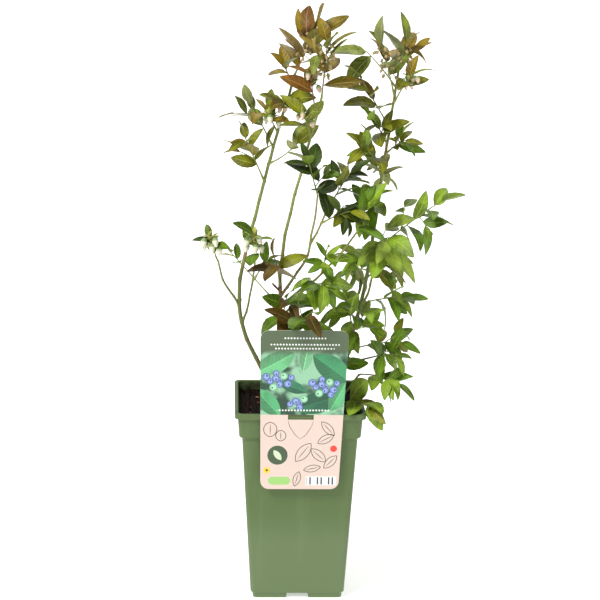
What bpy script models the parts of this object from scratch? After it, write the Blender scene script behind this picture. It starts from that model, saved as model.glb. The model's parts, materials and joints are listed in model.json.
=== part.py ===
"""A young blueberry bush in a square nursery pot, with a card hung on the rim.

The pot stands on the XY plane with the middle of its underside at the origin.  +Z is up,
and the card hangs on the -Y side.  The pot, peat and card are sized in metres; the plant's
tables are in millimetres and are scaled once, by MM, when a mesh is made.
"""
import math
import random
from collections import namedtuple

import bmesh
import bpy
from mathutils import Vector
from mathutils.bvhtree import BVHTree

# Driving dimensions of the pot
POT_HEIGHT = 0.200
RIM_HALF = 0.065
LIP_HEIGHT = 0.006
LIP_WIDTH = 0.0035
LIP_STEP = 0.0004
COLLAR_TOP_HALF = 0.0620
COLLAR_FOOT_HALF = 0.0606
COLLAR_FOOT_Z = 0.1746
BODY_TOP_HALF = 0.0576
BODY_TOP_Z = 0.1722
BODY_FOOT_HALF = 0.0476
BODY_FOOT_Z = 0.0066
SOLE_HALF = 0.0450
SOLE_FLARE = 0.0008
WALL = 0.0016
FLOOR = 0.0075
CORNER_SHARE = 0.095
NOTCH_WIDTH = 0.0248
NOTCH_HEIGHT = 0.0052
NOTCH_DEPTH = 0.020
NOTCH_SLANT = 0.0019
DRAIN_RADIUS = 0.004
DRAIN_PLACE = 0.033

# Peat fill
PEAT_TOP = 0.190
PEAT_EDGE_WIDTH = 0.006
PEAT_EDGE_DROP = 0.0015
SEAT_GAP = 0.0003

# Card hung on the front of the rim
CARD_TOP = 0.287
CARD_FOOT = 0.122
CARD_TOP_HALF = 0.0433
CARD_FOOT_HALF = 0.0388
CARD_TOP_SHIFT = 0.0025
CARD_FOOT_SHIFT = -0.0003
CARD_THICK = 0.0008
CARD_CORNER = 0.0085
CARD_LEAN = math.radians(3.0)
SLOT_HALF = 0.0127
SLOT_FOOT = 0.1951
SLOT_TOP = 0.2002
HOOK_DROP = 0.0105
STRAP_OVERHANG = 0.001

# Plant, in millimetres
MM = 0.001
CLEAR = 0.3
FOOT_Z = PEAT_TOP / MM + CLEAR
FLARE = 0.35
FLARE_REACH = 8.0
FLARE_RING = 1.5
STEM_RADIUS = (1.3, 0.8)
TWIG_RADIUS = (0.65, 0.5)
STEM_STEPS = 4
TWIG_STEPS = 2
LEAF_THICKNESS_SHARE = 0.03
LEAF_SUNK = 0.2
LEAF_WIDEST = 0.45
LEAF_SPREAD = 0.56
BELL_LENGTH = 8.5
BELL_RADIUS = 2.9
BELL_STATIONS = ((0.0, 0.45), (0.45, 1.0), (1.0, 0.55))
PEDICEL = 6.5
PEDICEL_RADIUS = 0.6
UP = Vector((0.0, 0.0, 1.0))

# Growth: angles in degrees off and round a stem, shares of a length, and how far each varies
LEAF_TURN = 137.5
LEAF_TURN_SPREAD = 20
LEAF_SLANT = (72, 34)
TIP_LEAF_SLANT = 14
SLANT_SPREAD = 9
LIFT_SPREAD = 0.16
FACE_UP = 0.75
FACE_FORWARD = 0.4
FACE_SPREAD = 0.4
LENGTH_RANGE = (0.78, 1.18)
WIDTH_RANGE = (0.38, 0.50)
DROOP_RANGE = (0.05, 0.32)
END_LEAF_SHARE = 0.72
SWELL_START = 0.25
TWIG_TURN_STEP = 1.5
TWIG_TURN_SPREAD = 25
TWIG_SLANT = 48
TWIG_REACH = (0.3, 0.5)
TWIG_LENGTH = (9, 22)
TWIG_BARE = 0.45
TWIG_LEAVES = 3
TWIG_LEAF_SHARE = 0.78
LAST_TWIG = 0.8
TWIG_LIFT_SHARE = 0.5
TWIG_RISE = 0.06
TWIG_ROW_TURN = 90
BELLS_START = 0.5
BELL_TURN_SPREAD = 15
BELL_LIFT = (-0.3, 0.5)
BELL_LEAN = 0.25

# Foot, bends and top of each limb, and its radius at foot and top.  A limb with a parent
# springs from it at the height given, and its points are then its bend and its tip.
Limb = namedtuple("Limb", "parent height points radii")
LIMBS = {
    "cane_left": Limb(None, None, [(-19, 6, FOOT_Z), (-61, 10, 291), (-38, 16, 415), (-8, 22, 525)],
                      (2.3, 1.3)),
    "cane_middle": Limb(None, None, [(-14, -8, FOOT_Z), (-20, -10, 290), (-16, -12, 370),
                                     (17, -23, 508)], (2.2, 1.2)),
    "cane_right": Limb(None, None, [(27, 3, FOOT_Z), (63, 10, 300), (82, 17, 434), (95, 23, 528)],
                       (2.3, 1.2)),
    "stem_low_right": Limb(None, None, [(34, -8, FOOT_Z), (48, -9, 208), (61, -10, 227)], (1.4, 0.9)),
    "stem_left_low": Limb("cane_left", 292, [(-76, 4, 318), (-85, -3, 346)], (1.3, 0.9)),
    "stem_left_front": Limb("cane_left", 276, [(-50, -3, 306), (-46, -14, 342)], (1.2, 0.9)),
    "fork_middle": Limb("cane_middle", 307, [(5, -26, 352), (14, -38, 414)], (1.5, 0.9)),
    "bough_dark": Limb("fork_middle", 364, [(20, -32, 389), (32, -30, 413)], (1.1, 0.8)),
    "bough_cross": Limb("cane_middle", 298, [(22, -45, 341), (54, -47, 382)], (1.3, 0.9)),
    "stem_right_twin": Limb("cane_right", 290, [(70, -3, 314), (73, -8, 337)], (1.3, 1.0)),
    "bough_right_low": Limb("cane_right", 230, [(57, -10, 240), (78, -21, 249)], (1.1, 0.8)),
}

# Leafy shoots: the limb each springs from and at what height (TIP on its end), where its own
# tip is, how many leaves it bears and how long, how far they lift or hang, the bare share of
# the stem, the rise of its middle, its side twigs, its flowers and its tint.
TIP = 999
SEED = 214
Shoot = namedtuple("Shoot", "name limb height tip leaves size lift bare rise twigs bells tint")
SHOOTS = [
    Shoot("top_left", "cane_left", TIP, (13, 24, 570), 9, 42, 0.3, 0.15, 0, 2, 0, "bronze"),
    Shoot("shoulder_left", "cane_left", 516, (-19, 12, 535), 4, 34, 0.05, 0.5, 2, 0, 0, "bronze"),
    Shoot("spur_left_top", "cane_left", 492, (-16, 10, 497), 4, 33, 0, 0.4, 0, 0, 5, "bronze"),
    Shoot("spur_left_mid", "cane_left", 468, (-34, 6, 488), 5, 29, -0.15, 0.3, 0, 0, 4, "olive"),
    Shoot("twig_left_upper", "cane_left", 453, (-51, 6, 498), 8, 32, -0.05, 0.45, 0, 2, 0, "olive"),
    Shoot("twig_left_lower", "cane_left", 419, (-58, 2, 468), 8, 30, -0.05, 0.3, 0, 2, 0, "olive"),
    Shoot("twig_left_inner", "cane_left", 436, (-5, -2, 460), 5, 36, 0.1, 0.5, -4, 0, 0, "olive"),
    Shoot("bells_far_left", "stem_left_low", TIP, (-91, -10, 366), 4, 24, 0.05, 0.1, 3, 0, 7, "olive"),
    Shoot("bells_front", "stem_left_front", TIP, (-48, -24, 373), 5, 33, -0.3, 0.1, 0, 0, 7, "olive"),
    Shoot("shoot_left_back", "cane_middle", 296, (-73, 44, 344), 5, 19, 0, 0.75, 0, 0, 0, "olive"),
    Shoot("top_middle", "cane_middle", TIP, (21, -34, 562), 9, 38, 0.12, 0.1, 0, 2, 0, "bronze"),
    Shoot("dark_upper_left", "cane_middle", 488, (5, -22, 534), 6, 34, 0.1, 0.3, 0, 0, 3, "olive"),
    Shoot("upper_front", "cane_middle", 470, (-2, -42, 496), 5, 34, 0.05, 0.3, 0, 0, 3, "olive"),
    Shoot("fork_top", "fork_middle", TIP, (4, -46, 450), 8, 32, 0.05, 0.05, 0, 2, 0, "olive"),
    Shoot("dark_right", "bough_dark", TIP, (46, -24, 434), 9, 32, 0, 0, 2, 2, 0, "green"),
    Shoot("dark_low", "bough_dark", 386, (45, -50, 401), 6, 32, -0.25, 0.2, 2, 2, 0, "green"),
    Shoot("bronze_low", "cane_middle", 316, (-25, -26, 345), 5, 38, -0.4, 0.5, 0, 0, 0, "bronze"),
    Shoot("cross_mid", "bough_cross", 338, (22, -64, 363), 7, 24, -0.1, 0.3, 0, 2, 0, "olive"),
    Shoot("cross_top", "bough_cross", TIP, (59, -40, 407), 9, 37, -0.05, 0.1, 0, 2, 0, "olive"),
    Shoot("cross_low", "bough_cross", 322, (21, -62, 331), 7, 34, -0.3, 0.2, 3, 2, 0, "green"),
    Shoot("middle_low", "cane_middle", 272, (-15, -38, 312), 8, 32, -0.25, 0.2, 3, 2, 0, "green"),
    Shoot("front_low_right", "cane_right", 222, (44, -44, 256), 6, 31, -0.3, 0.35, 3, 0, 0, "green"),
    Shoot("left_small", "stem_left_front", 322, (-33, -18, 346), 4, 27, -0.15, 0.35, 2, 0, 0, "olive"),
    Shoot("front_over_card", "cane_middle", 256, (9, -70, 305), 8, 38, -0.3, 0.3, 8, 2, 0, "green"),
    Shoot("top_right", "cane_right", TIP, (102, 24, 557), 7, 38, 0.25, 0.15, 0, 2, 0, "bronze"),
    Shoot("top_right_left", "cane_right", 505, (77, 4, 558), 6, 42, 0.35, 0.35, 0, 0, 0, "bronze"),
    Shoot("top_right_out", "cane_right", 514, (62, 6, 550), 3, 46, -0.6, 0.7, 3, 0, 0, "bronze"),
    Shoot("bells_right_top", "cane_right", 498, (106, 4, 527), 5, 33, 0.05, 0.4, 3, 0, 6, "bronze"),
    Shoot("right_upper_left", "cane_right", 474, (56, -10, 525), 8, 33, 0, 0.35, 0, 0, 0, "bronze"),
    Shoot("right_upper_mid", "cane_right", 458, (70, -6, 485), 7, 32, -0.05, 0.3, 0, 2, 0, "olive"),
    Shoot("right_mid_left", "cane_right", 436, (58, -14, 459), 9, 30, 0, 0.35, 0, 2, 0, "olive"),
    Shoot("right_mid_right", "cane_right", 448, (102, 8, 463), 7, 26, -0.05, 0.3, 2, 2, 0, "olive"),
    Shoot("right_side", "cane_right", 418, (84, 46, 432), 7, 29, -0.1, 0.3, 0, 2, 0, "olive"),
    Shoot("right_centre", "cane_right", 386, (62, -22, 412), 7, 34, -0.1, 0.3, 0, 2, 0, "olive"),
    Shoot("right_big", "cane_right", 352, (85, -22, 370), 7, 47, -0.5, 0.45, 3, 2, 0, "green"),
    Shoot("far_right", "cane_right", 346, (136, -28, 408), 8, 39, -0.35, 0.3, 4, 2, 0, "green"),
    Shoot("right_arm", "cane_right", 296, (105, -14, 308), 9, 28, -0.35, 0.3, 3, 2, 0, "green"),
    Shoot("right_back", "cane_right", 322, (96, 44, 332), 7, 33, -0.2, 0.35, 3, 2, 0, "olive"),
    Shoot("twin_top", "stem_right_twin", TIP, (55, -10, 353), 7, 36, -0.2, 0.2, 0, 2, 0, "green"),
    Shoot("right_low_left", "cane_right", 268, (45, -26, 311), 9, 31, -0.25, 0.2, 3, 2, 0, "green"),
    Shoot("right_low_mid", "cane_right", 254, (64, -34, 297), 8, 32, -0.35, 0.2, 4, 2, 0, "green"),
    Shoot("right_low_arm", "cane_right", 246, (103, -8, 260), 7, 29, -0.25, 0.35, 6, 2, 0, "green"),
    Shoot("low_far_right", "bough_right_low", TIP, (97, -34, 254), 7, 29, -0.3, 0, 1, 2, 0, "green"),
    Shoot("low_right_out", "stem_low_right", TIP, (98, -40, 226), 9, 32, -0.45, 0.2, 5, 2, 0, "green"),
    Shoot("low_over_rim", "stem_low_right", 194, (69, -56, 207), 9, 37, -0.5, 0.3, 8, 2, 0, "green"),
    Shoot("back_right", "cane_right", 330, (54, 62, 319), 8, 33, -0.15, 0.35, 3, 2, 0, "olive"),
]


# Clean stage, collections and materials

for old in list(bpy.data.objects):
    bpy.data.objects.remove(old, do_unlink=True)

plant_parts = bpy.data.collections.new("potted_blueberry")
cutters = bpy.data.collections.new("cutters")
bpy.context.scene.collection.children.link(plant_parts)
bpy.context.scene.collection.children.link(cutters)


def finish(name, colour, roughness):
    """A matt Principled material of one colour."""
    material = bpy.data.materials.new(name)
    material.use_nodes = True
    shader = material.node_tree.nodes["Principled BSDF"]
    shader.inputs["Base Color"].default_value = (*colour, 1.0)
    shader.inputs["Roughness"].default_value = roughness
    shader.inputs["Metallic"].default_value = 0.0
    return material


POT_PLASTIC = finish("pot_plastic", (0.162, 0.246, 0.098), 0.45)
PEAT = finish("peat", (0.022, 0.012, 0.008), 0.95)
CARD = finish("card", (0.93, 0.78, 0.68), 0.5)
BARK = finish("bark", (0.17, 0.24, 0.06), 0.6)
LEAF = {
    "bronze": finish("leaf_bronze", (0.22, 0.15, 0.04), 0.5),
    "olive": finish("leaf_olive", (0.16, 0.20, 0.04), 0.5),
    "green": finish("leaf_green", (0.12, 0.25, 0.03), 0.5),
}


def add_part(name, mesh, material, collection=plant_parts):
    """Link a mesh as a named part with its material."""
    part = bpy.data.objects.new(name, mesh)
    mesh.materials.clear()
    mesh.materials.append(material)
    collection.objects.link(part)
    return part


def mark_cutter(part):
    """Show a cutter as wire and keep it out of renders."""
    part.display_type = "WIRE"
    part.hide_render = True
    return part


def add_boolean(part, operation, **operand):
    """Give a part one Boolean modifier."""
    modifier = part.modifiers.new(operation.lower(), "BOOLEAN")
    modifier.operation = operation
    modifier.solver = "EXACT"
    for key, value in operand.items():
        setattr(modifier, key, value)
    return modifier


def evaluated_mesh(part):
    """The part's mesh as its modifiers leave it."""
    bpy.context.view_layer.update()
    graph = bpy.context.evaluated_depsgraph_get()
    return bpy.data.meshes.new_from_object(part.evaluated_get(graph))


# Square pot: a rounded square extruded and scaled up through its levels

def stacked_square(name, levels, material, collection=plant_parts):
    """A closed body through (height, half width) levels of one rounded square."""
    bm = bmesh.new()
    bmesh.ops.create_grid(bm, x_segments=1, y_segments=1, size=1.0)
    bmesh.ops.bevel(bm, geom=bm.verts[:], offset=CORNER_SHARE, segments=4, affect="VERTICES")
    face = next(iter(bm.faces))
    outline = [vert.co.copy() for vert in face.verts]
    for index, (height, half) in enumerate(levels):
        if index:
            face = bmesh.ops.extrude_discrete_faces(bm, faces=[face])["faces"][0]
        for vert, unit in zip(face.verts, outline):
            vert.co = (unit.x * half, unit.y * half, height)
    bmesh.ops.holes_fill(bm, edges=bm.edges[:], sides=0)
    bmesh.ops.recalc_face_normals(bm, faces=bm.faces[:])
    mesh = bpy.data.meshes.new(name)
    bm.to_mesh(mesh)
    bm.free()
    return add_part(name, mesh, material, collection)


LIP_FOOT_Z = POT_HEIGHT - LIP_HEIGHT
pot = stacked_square("pot", [
    (0.0, SOLE_HALF),
    (NOTCH_HEIGHT, SOLE_HALF + SOLE_FLARE),
    (BODY_FOOT_Z, BODY_FOOT_HALF),
    (BODY_TOP_Z, BODY_TOP_HALF),
    (COLLAR_FOOT_Z, COLLAR_FOOT_HALF),
    (LIP_FOOT_Z - LIP_STEP, COLLAR_TOP_HALF),
    (LIP_FOOT_Z, RIM_HALF),
    (POT_HEIGHT, RIM_HALF),
], POT_PLASTIC)
INNER_LEVELS = [
    (FLOOR, BODY_FOOT_HALF - WALL),
    (BODY_TOP_Z, BODY_TOP_HALF - WALL),
    (COLLAR_FOOT_Z, COLLAR_FOOT_HALF - WALL),
    (LIP_FOOT_Z, COLLAR_TOP_HALF - WALL),
    (POT_HEIGHT + LIP_STEP, RIM_HALF - LIP_WIDTH),
]
hollow = mark_cutter(stacked_square("pot_hollow", INNER_LEVELS, POT_PLASTIC, cutters))
add_boolean(pot, "DIFFERENCE", object=hollow)


def notch(name, turn):
    """A drainage notch with slanted ends, cut up into one side of the pot's foot."""
    bm = bmesh.new()
    bmesh.ops.create_cube(bm, size=1.0)
    for vert in bm.verts:
        upper = vert.co.z > 0
        vert.co.x = math.copysign(NOTCH_WIDTH / 2 - (NOTCH_SLANT if upper else 0.0), vert.co.x)
        vert.co.y = -RIM_HALF if vert.co.y < 0 else NOTCH_DEPTH - SOLE_HALF
        vert.co.z = NOTCH_HEIGHT if upper else -NOTCH_HEIGHT
    mesh = bpy.data.meshes.new(name)
    bm.to_mesh(mesh)
    bm.free()
    cutter = mark_cutter(add_part(name, mesh, POT_PLASTIC, cutters))
    cutter.rotation_euler.z = turn
    return cutter


for side in range(4):
    turn = side * math.pi / 2
    add_boolean(pot, "DIFFERENCE", object=notch(f"notch_{side}", turn))
    bpy.ops.mesh.primitive_cylinder_add(
        vertices=12, radius=DRAIN_RADIUS, depth=2 * FLOOR,
        location=(math.sin(turn) * DRAIN_PLACE, -math.cos(turn) * DRAIN_PLACE, FLOOR))
    drain = bpy.context.object
    drain.name = f"drain_{side}"
    for home in list(drain.users_collection):
        home.objects.unlink(drain)
    cutters.objects.link(mark_cutter(drain))
    add_boolean(pot, "DIFFERENCE", object=drain)


# Peat: fills the pot up to its own level, a seat gap clear of the walls

def inner_half(height):
    """Half width of the pot's hollow at a height, less the seat gap."""
    for (low, low_half), (high, high_half) in zip(INNER_LEVELS, INNER_LEVELS[1:]):
        if low <= height <= high:
            share = (height - low) / (high - low)
            return low_half + share * (high_half - low_half) - SEAT_GAP
    raise ValueError("height is outside the pot")


peat = stacked_square("soil", [
    (FLOOR + SEAT_GAP, inner_half(FLOOR + SEAT_GAP)),
    (BODY_TOP_Z, inner_half(BODY_TOP_Z)),
    (COLLAR_FOOT_Z, inner_half(COLLAR_FOOT_Z)),
    (PEAT_TOP - PEAT_EDGE_DROP, inner_half(PEAT_TOP - PEAT_EDGE_DROP)),
    (PEAT_TOP, inner_half(PEAT_TOP) - PEAT_EDGE_WIDTH),
], PEAT)


# Card: a tapered plate with a slot for the lip, and a strap bent over the lip

def flat_curve(name, outlines, thickness):
    """A filled 2D curve of closed outlines, extruded, as a mesh in its own XY plane."""
    curve = bpy.data.curves.new(name, "CURVE")
    curve.dimensions = "2D"
    curve.fill_mode = "BOTH"
    curve.extrude = thickness / 2
    for outline in outlines:
        spline = curve.splines.new("POLY")
        spline.points.add(len(outline) - 1)
        for point, (x, y) in zip(spline.points, outline):
            point.co = (x, y, 0.0, 1.0)
        spline.use_cyclic_u = True
    holder = bpy.data.objects.new(name, curve)
    cutters.objects.link(holder)
    mesh = evaluated_mesh(holder)
    bpy.data.objects.remove(holder, do_unlink=True)
    bm = bmesh.new()
    bm.from_mesh(mesh)
    bmesh.ops.remove_doubles(bm, verts=bm.verts[:], dist=1e-6)
    bmesh.ops.recalc_face_normals(bm, faces=bm.faces[:])
    bm.to_mesh(mesh)
    bm.free()
    return mesh


def rounded(corners, radius, steps=5):
    """An outline with each corner turned into an arc of the radius."""
    outline = []
    count = len(corners)
    for index, corner in enumerate(corners):
        here = Vector(corner)
        before = (Vector(corners[index - 1]) - here).normalized()
        after = (Vector(corners[(index + 1) % count]) - here).normalized()
        half_angle = before.angle(after) / 2
        middle = here + (before + after).normalized() * (radius / math.sin(half_angle))
        start = here + before * (radius / math.tan(half_angle)) - middle
        end = here + after * (radius / math.tan(half_angle)) - middle
        sweep = start.angle_signed(end)
        for step in range(steps + 1):
            turn = -sweep * step / steps
            outline.append((middle.x + start.x * math.cos(turn) - start.y * math.sin(turn),
                            middle.y + start.x * math.sin(turn) + start.y * math.cos(turn)))
    return outline


plate_outline = rounded([
    (CARD_TOP_SHIFT + CARD_TOP_HALF, CARD_TOP - LIP_FOOT_Z),
    (CARD_TOP_SHIFT - CARD_TOP_HALF, CARD_TOP - LIP_FOOT_Z),
    (CARD_FOOT_SHIFT - CARD_FOOT_HALF, CARD_FOOT - LIP_FOOT_Z),
    (CARD_FOOT_SHIFT + CARD_FOOT_HALF, CARD_FOOT - LIP_FOOT_Z),
], CARD_CORNER)
slot_outline = [
    (-SLOT_HALF, SLOT_FOOT - LIP_FOOT_Z),
    (SLOT_HALF, SLOT_FOOT - LIP_FOOT_Z),
    (SLOT_HALF, SLOT_TOP - LIP_FOOT_Z),
    (-SLOT_HALF, SLOT_TOP - LIP_FOOT_Z),
]
card = add_part("card", flat_curve("card", [plate_outline, slot_outline], CARD_THICK), CARD)
card.rotation_euler.x = math.pi / 2 + CARD_LEAN
card.location = (0.0, -RIM_HALF - SEAT_GAP - CARD_THICK / 2, LIP_FOOT_Z)

STRAP_FOOT_Z = POT_HEIGHT + SEAT_GAP
STRAP_TOP_Z = STRAP_FOOT_Z + CARD_THICK
LEG_FRONT = -(COLLAR_TOP_HALF - WALL) + 2 * SEAT_GAP
strap_profile = [
    (-RIM_HALF - STRAP_OVERHANG, STRAP_FOOT_Z),
    (LEG_FRONT, STRAP_FOOT_Z),
    (LEG_FRONT, STRAP_TOP_Z - HOOK_DROP),
    (LEG_FRONT + CARD_THICK, STRAP_TOP_Z - HOOK_DROP),
    (LEG_FRONT + CARD_THICK, STRAP_TOP_Z),
    (-RIM_HALF - STRAP_OVERHANG, STRAP_TOP_Z),
]
strap = add_part("strap", flat_curve("strap", [strap_profile], 2 * SLOT_HALF), CARD, cutters)
strap.rotation_euler = (math.pi / 2, 0.0, math.pi / 2)
mark_cutter(strap)
add_boolean(card, "UNION", object=strap)


# Plant geometry, worked out in millimetres

def smooth_path(points, steps):
    """Catmull-Rom curve through the points, with a number of steps in each span."""
    knots = [Vector(point) for point in points]
    knots = [2 * knots[0] - knots[1]] + knots + [2 * knots[-1] - knots[-2]]
    path = []
    for a, b, c, d in zip(knots, knots[1:], knots[2:], knots[3:]):
        for step in range(steps):
            t = step / steps
            path.append(0.5 * (2 * b + (c - a) * t + (2 * a - 5 * b + 4 * c - d) * t * t
                               + (3 * b - a - 3 * c + d) * t ** 3))
    path.append(knots[-2].copy())
    return path


def at_height(path, height):
    """Point and direction of a rising path at a height, or at its end if that is lower."""
    for low, high in zip(path, path[1:]):
        if low.z <= height <= high.z:
            return low.lerp(high, (height - low.z) / (high.z - low.z)), (high - low).normalized()
    return path[-1].copy(), (path[-1] - path[-2]).normalized()


def clear_start(limb, height, toward, radius):
    """Where a stem starts so that its flat end stays clear of the limb that carries it."""
    path, radii = limb_paths[limb], LIMBS[limb].radii
    root, along = at_height(path, height)
    way = (toward - root).normalized()
    slant = max(along.angle(way), 0.01)
    if root == path[-1]:
        return root + way * (CLEAR + radius * math.sin(slant))
    thick = radii[0] + (radii[1] - radii[0]) * (root.z - path[0].z) / (path[-1].z - path[0].z)
    return root + way * ((thick + CLEAR + radius * math.cos(slant)) / math.sin(slant))


def tube(points, radii):
    """Mesh of a tapering tube in metres: a bevelled curve with its caps welded on."""
    curve = bpy.data.curves.new("tube", "CURVE")
    curve.dimensions = "3D"
    curve.bevel_depth = MM
    curve.bevel_resolution = 1
    curve.use_fill_caps = True
    spline = curve.splines.new("POLY")
    spline.points.add(len(points) - 1)
    for point, place, radius in zip(spline.points, points, radii):
        point.co = (*(place * MM), 1.0)
        point.radius = radius
    holder = bpy.data.objects.new("tube", curve)
    cutters.objects.link(holder)
    mesh = evaluated_mesh(holder)
    bpy.data.objects.remove(holder, do_unlink=True)
    bpy.data.curves.remove(curve)
    bm = bmesh.new()
    bm.from_mesh(mesh)
    bmesh.ops.remove_doubles(bm, verts=bm.verts[:], dist=1e-6)
    bmesh.ops.recalc_face_normals(bm, faces=bm.faces[:])
    bm.to_mesh(mesh)
    bm.free()
    return mesh


def loft(rings, start=None, end=None):
    """Mesh in metres through rings of equal count, closed at each end by a point or a face."""
    bm = bmesh.new()
    rows = [[bm.verts.new(point * MM) for point in ring] for ring in rings]
    for low, high in zip(rows, rows[1:]):
        for index in range(len(low)):
            after = (index + 1) % len(low)
            bm.faces.new((low[index], high[index], high[after], low[after]))
    for row, point in ((rows[0], start), (rows[-1], end)):
        if point is None:
            bm.faces.new(row)
            continue
        peak = bm.verts.new(point * MM)
        for index in range(len(row)):
            bm.faces.new((row[index], peak, row[(index + 1) % len(row)]))
    bmesh.ops.triangulate(bm, faces=bm.faces[:])
    bmesh.ops.recalc_face_normals(bm, faces=bm.faces[:])
    mesh = bpy.data.meshes.new("loft")
    bm.to_mesh(mesh)
    bm.free()
    return mesh


def ring(middle, way, radius, corners):
    """Corners evenly round a point, square to a direction."""
    side = way.cross(Vector((0.0, 1.0, 0.0)))
    if side.length < 0.2:
        side = way.cross(Vector((1.0, 0.0, 0.0)))
    side = side.normalized() * radius
    front = side.cross(way)
    turns = [2 * math.pi * corner / corners for corner in range(corners)]
    return [middle + side * math.cos(turn) + front * math.sin(turn) for turn in turns]


# Growth rule: twigs branch from one stem, and leaves turn round each by a fixed angle

Leaf = namedtuple("Leaf", "root way face length width droop")


def bow(a, b, c, t):
    """Point of a stem that bows from a towards b on its way to c."""
    return a * (1 - t) ** 2 + b * (2 * t * (1 - t)) + c * (t * t)


def bow_way(a, b, c, t):
    """Direction of that stem."""
    return ((b - a) * (1 - t) + (c - b) * t).normalized()


def branch_way(along, turn, slant):
    """A direction that leaves a stem by an angle, turned round it."""
    side = along.cross(UP)
    side = side.normalized() if side.length_squared > 0.01 else Vector((1.0, 0.0, 0.0))
    front = side.cross(along)
    return along * math.cos(slant) + (side * math.cos(turn) + front * math.sin(turn)) * math.sin(slant)


def leaf_row(rng, stem, count, size, lift, bare, turn):
    """Leaves set in a spiral along a stem, the last one at its tip."""
    leaves = []
    for index in range(count):
        t = bare + (1 - bare) * index / max(count - 1, 1)
        along = bow_way(*stem, t)
        azimuth = math.radians(turn + LEAF_TURN * index + rng.gauss(0, LEAF_TURN_SPREAD))
        slant = LEAF_SLANT[0] + (LEAF_SLANT[1] - LEAF_SLANT[0]) * t
        if index == count - 1:
            slant = TIP_LEAF_SLANT
        slant = math.radians(slant + rng.gauss(0, SLANT_SPREAD))
        way = (branch_way(along, azimuth, slant) + UP * (lift + rng.gauss(0, LIFT_SPREAD))).normalized()
        face = UP * FACE_UP + along * (1 - FACE_UP)
        face += Vector((rng.gauss(0, FACE_SPREAD), rng.gauss(-FACE_FORWARD, FACE_SPREAD), 0))
        face = (face - way * face.dot(way)).normalized()
        swell = math.sin(math.pi * min(1, SWELL_START + (1 - SWELL_START) * t))
        length = size * (END_LEAF_SHARE + (1 - END_LEAF_SHARE) * swell) * rng.uniform(*LENGTH_RANGE)
        width = length * rng.uniform(*WIDTH_RANGE)
        leaves.append(Leaf(bow(*stem, t), way, face, length, width, rng.uniform(*DROOP_RANGE)))
    return leaves


def grow(shoot, start):
    """Stems (three points each) and leaves of one shoot, and the draws that follow them."""
    rng = random.Random(f"{shoot.name} {SEED}")
    turn = rng.uniform(0, 360)
    tip = Vector(shoot.tip)
    main = (start, (start + tip) / 2 + UP * shoot.rise, tip)
    reach = (tip - start).length
    stems = [main]
    rows = [leaf_row(rng, main, shoot.leaves, shoot.size, shoot.lift, shoot.bare, turn)]
    for index in range(shoot.twigs):
        t = shoot.bare + (LAST_TWIG - shoot.bare) * (index + 0.5) / shoot.twigs
        azimuth = turn + LEAF_TURN * (0.5 + TWIG_TURN_STEP * index) + rng.gauss(0, TWIG_TURN_SPREAD)
        slant = TWIG_SLANT + rng.gauss(0, SLANT_SPREAD)
        way = branch_way(bow_way(*main, t), math.radians(azimuth), math.radians(slant))
        length = max(TWIG_LENGTH[0], min(TWIG_LENGTH[1], reach * rng.uniform(*TWIG_REACH)))
        root = bow(*main, t)
        end = root + (way + UP * TWIG_LIFT_SHARE * shoot.lift).normalized() * length
        twig = (root, (root + end) / 2 + UP * TWIG_RISE * length, end)
        stems.append(twig)
        size = shoot.size * TWIG_LEAF_SHARE
        row_turn = turn + TWIG_ROW_TURN * index
        rows.append(leaf_row(rng, twig, TWIG_LEAVES, size, shoot.lift, TWIG_BARE, row_turn))
    return stems, rows, rng


def leaf_mesh(leaf, swell=0.0):
    """A thin keeled kite that bends back along its length; swell thickens it all round."""
    reach = leaf.way.cross(leaf.face) * (leaf.width * LEAF_SPREAD + swell)
    sag = leaf.droop * leaf.length
    middle = leaf.root + leaf.way * (leaf.length * LEAF_WIDEST) - leaf.face * (sag * LEAF_WIDEST ** 2)
    top = middle + leaf.face * swell
    keel = middle - leaf.face * (leaf.length * LEAF_THICKNESS_SHARE + swell)
    tip = leaf.root + leaf.way * (leaf.length + swell) - leaf.face * sag
    return loft([[top + reach, top - reach, keel]], leaf.root - leaf.way * LEAF_SUNK, tip)


def bell_meshes(root, way, hang):
    """A flower's stalk and its hanging urn, closed and narrow at the mouth."""
    neck = root + way * PEDICEL
    stalk = loft([ring(root, way, PEDICEL_RADIUS, 3), ring(neck + hang, way, PEDICEL_RADIUS, 3)],
                 end=neck + hang * 3)
    urn = loft([ring(neck + hang * (BELL_LENGTH * t), hang, BELL_RADIUS * share, 5)
                for t, share in BELL_STATIONS])
    return [stalk, urn]


def bells_of(shoot, main, rng):
    """Flowers in a loose cluster round the outer half of a stem."""
    flowers = []
    for index in range(shoot.bells):
        root = bow(*main, BELLS_START + (1 - BELLS_START) * (index + 1) / shoot.bells)
        azimuth = math.radians(LEAF_TURN * index + rng.gauss(0, BELL_TURN_SPREAD))
        way = Vector((math.cos(azimuth), math.sin(azimuth), rng.uniform(*BELL_LIFT))).normalized()
        hang = Vector((way.x * BELL_LEAN, way.y * BELL_LEAN, -1.0)).normalized()
        flowers.append((root, way, hang))
    return flowers


# What has been placed so far, for the test that keeps each mass to its own space

placed = []


def tree_of(mesh):
    """Search tree of a mesh's faces."""
    return BVHTree.FromPolygons([vert.co.copy() for vert in mesh.vertices],
                                [tuple(face.vertices) for face in mesh.polygons])


def box_of(mesh):
    """Lowest and highest corner of a mesh."""
    columns = list(zip(*(vert.co for vert in mesh.vertices)))
    return [min(column) for column in columns], [max(column) for column in columns]


def remember(owner, mesh):
    """Keep a mesh's box and tree under the name of the part that owns it."""
    placed.append((owner, *box_of(mesh), tree_of(mesh)))


def is_clear(owner, mesh):
    """Whether a swollen mesh stays off every other part."""
    low, high = box_of(mesh)
    near = [tree for name, first, last, tree in placed
            if name != owner and all(low[k] <= last[k] and first[k] <= high[k] for k in range(3))]
    own = tree_of(mesh) if near else None
    return not any(own.overlap(tree) for tree in near)


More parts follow.
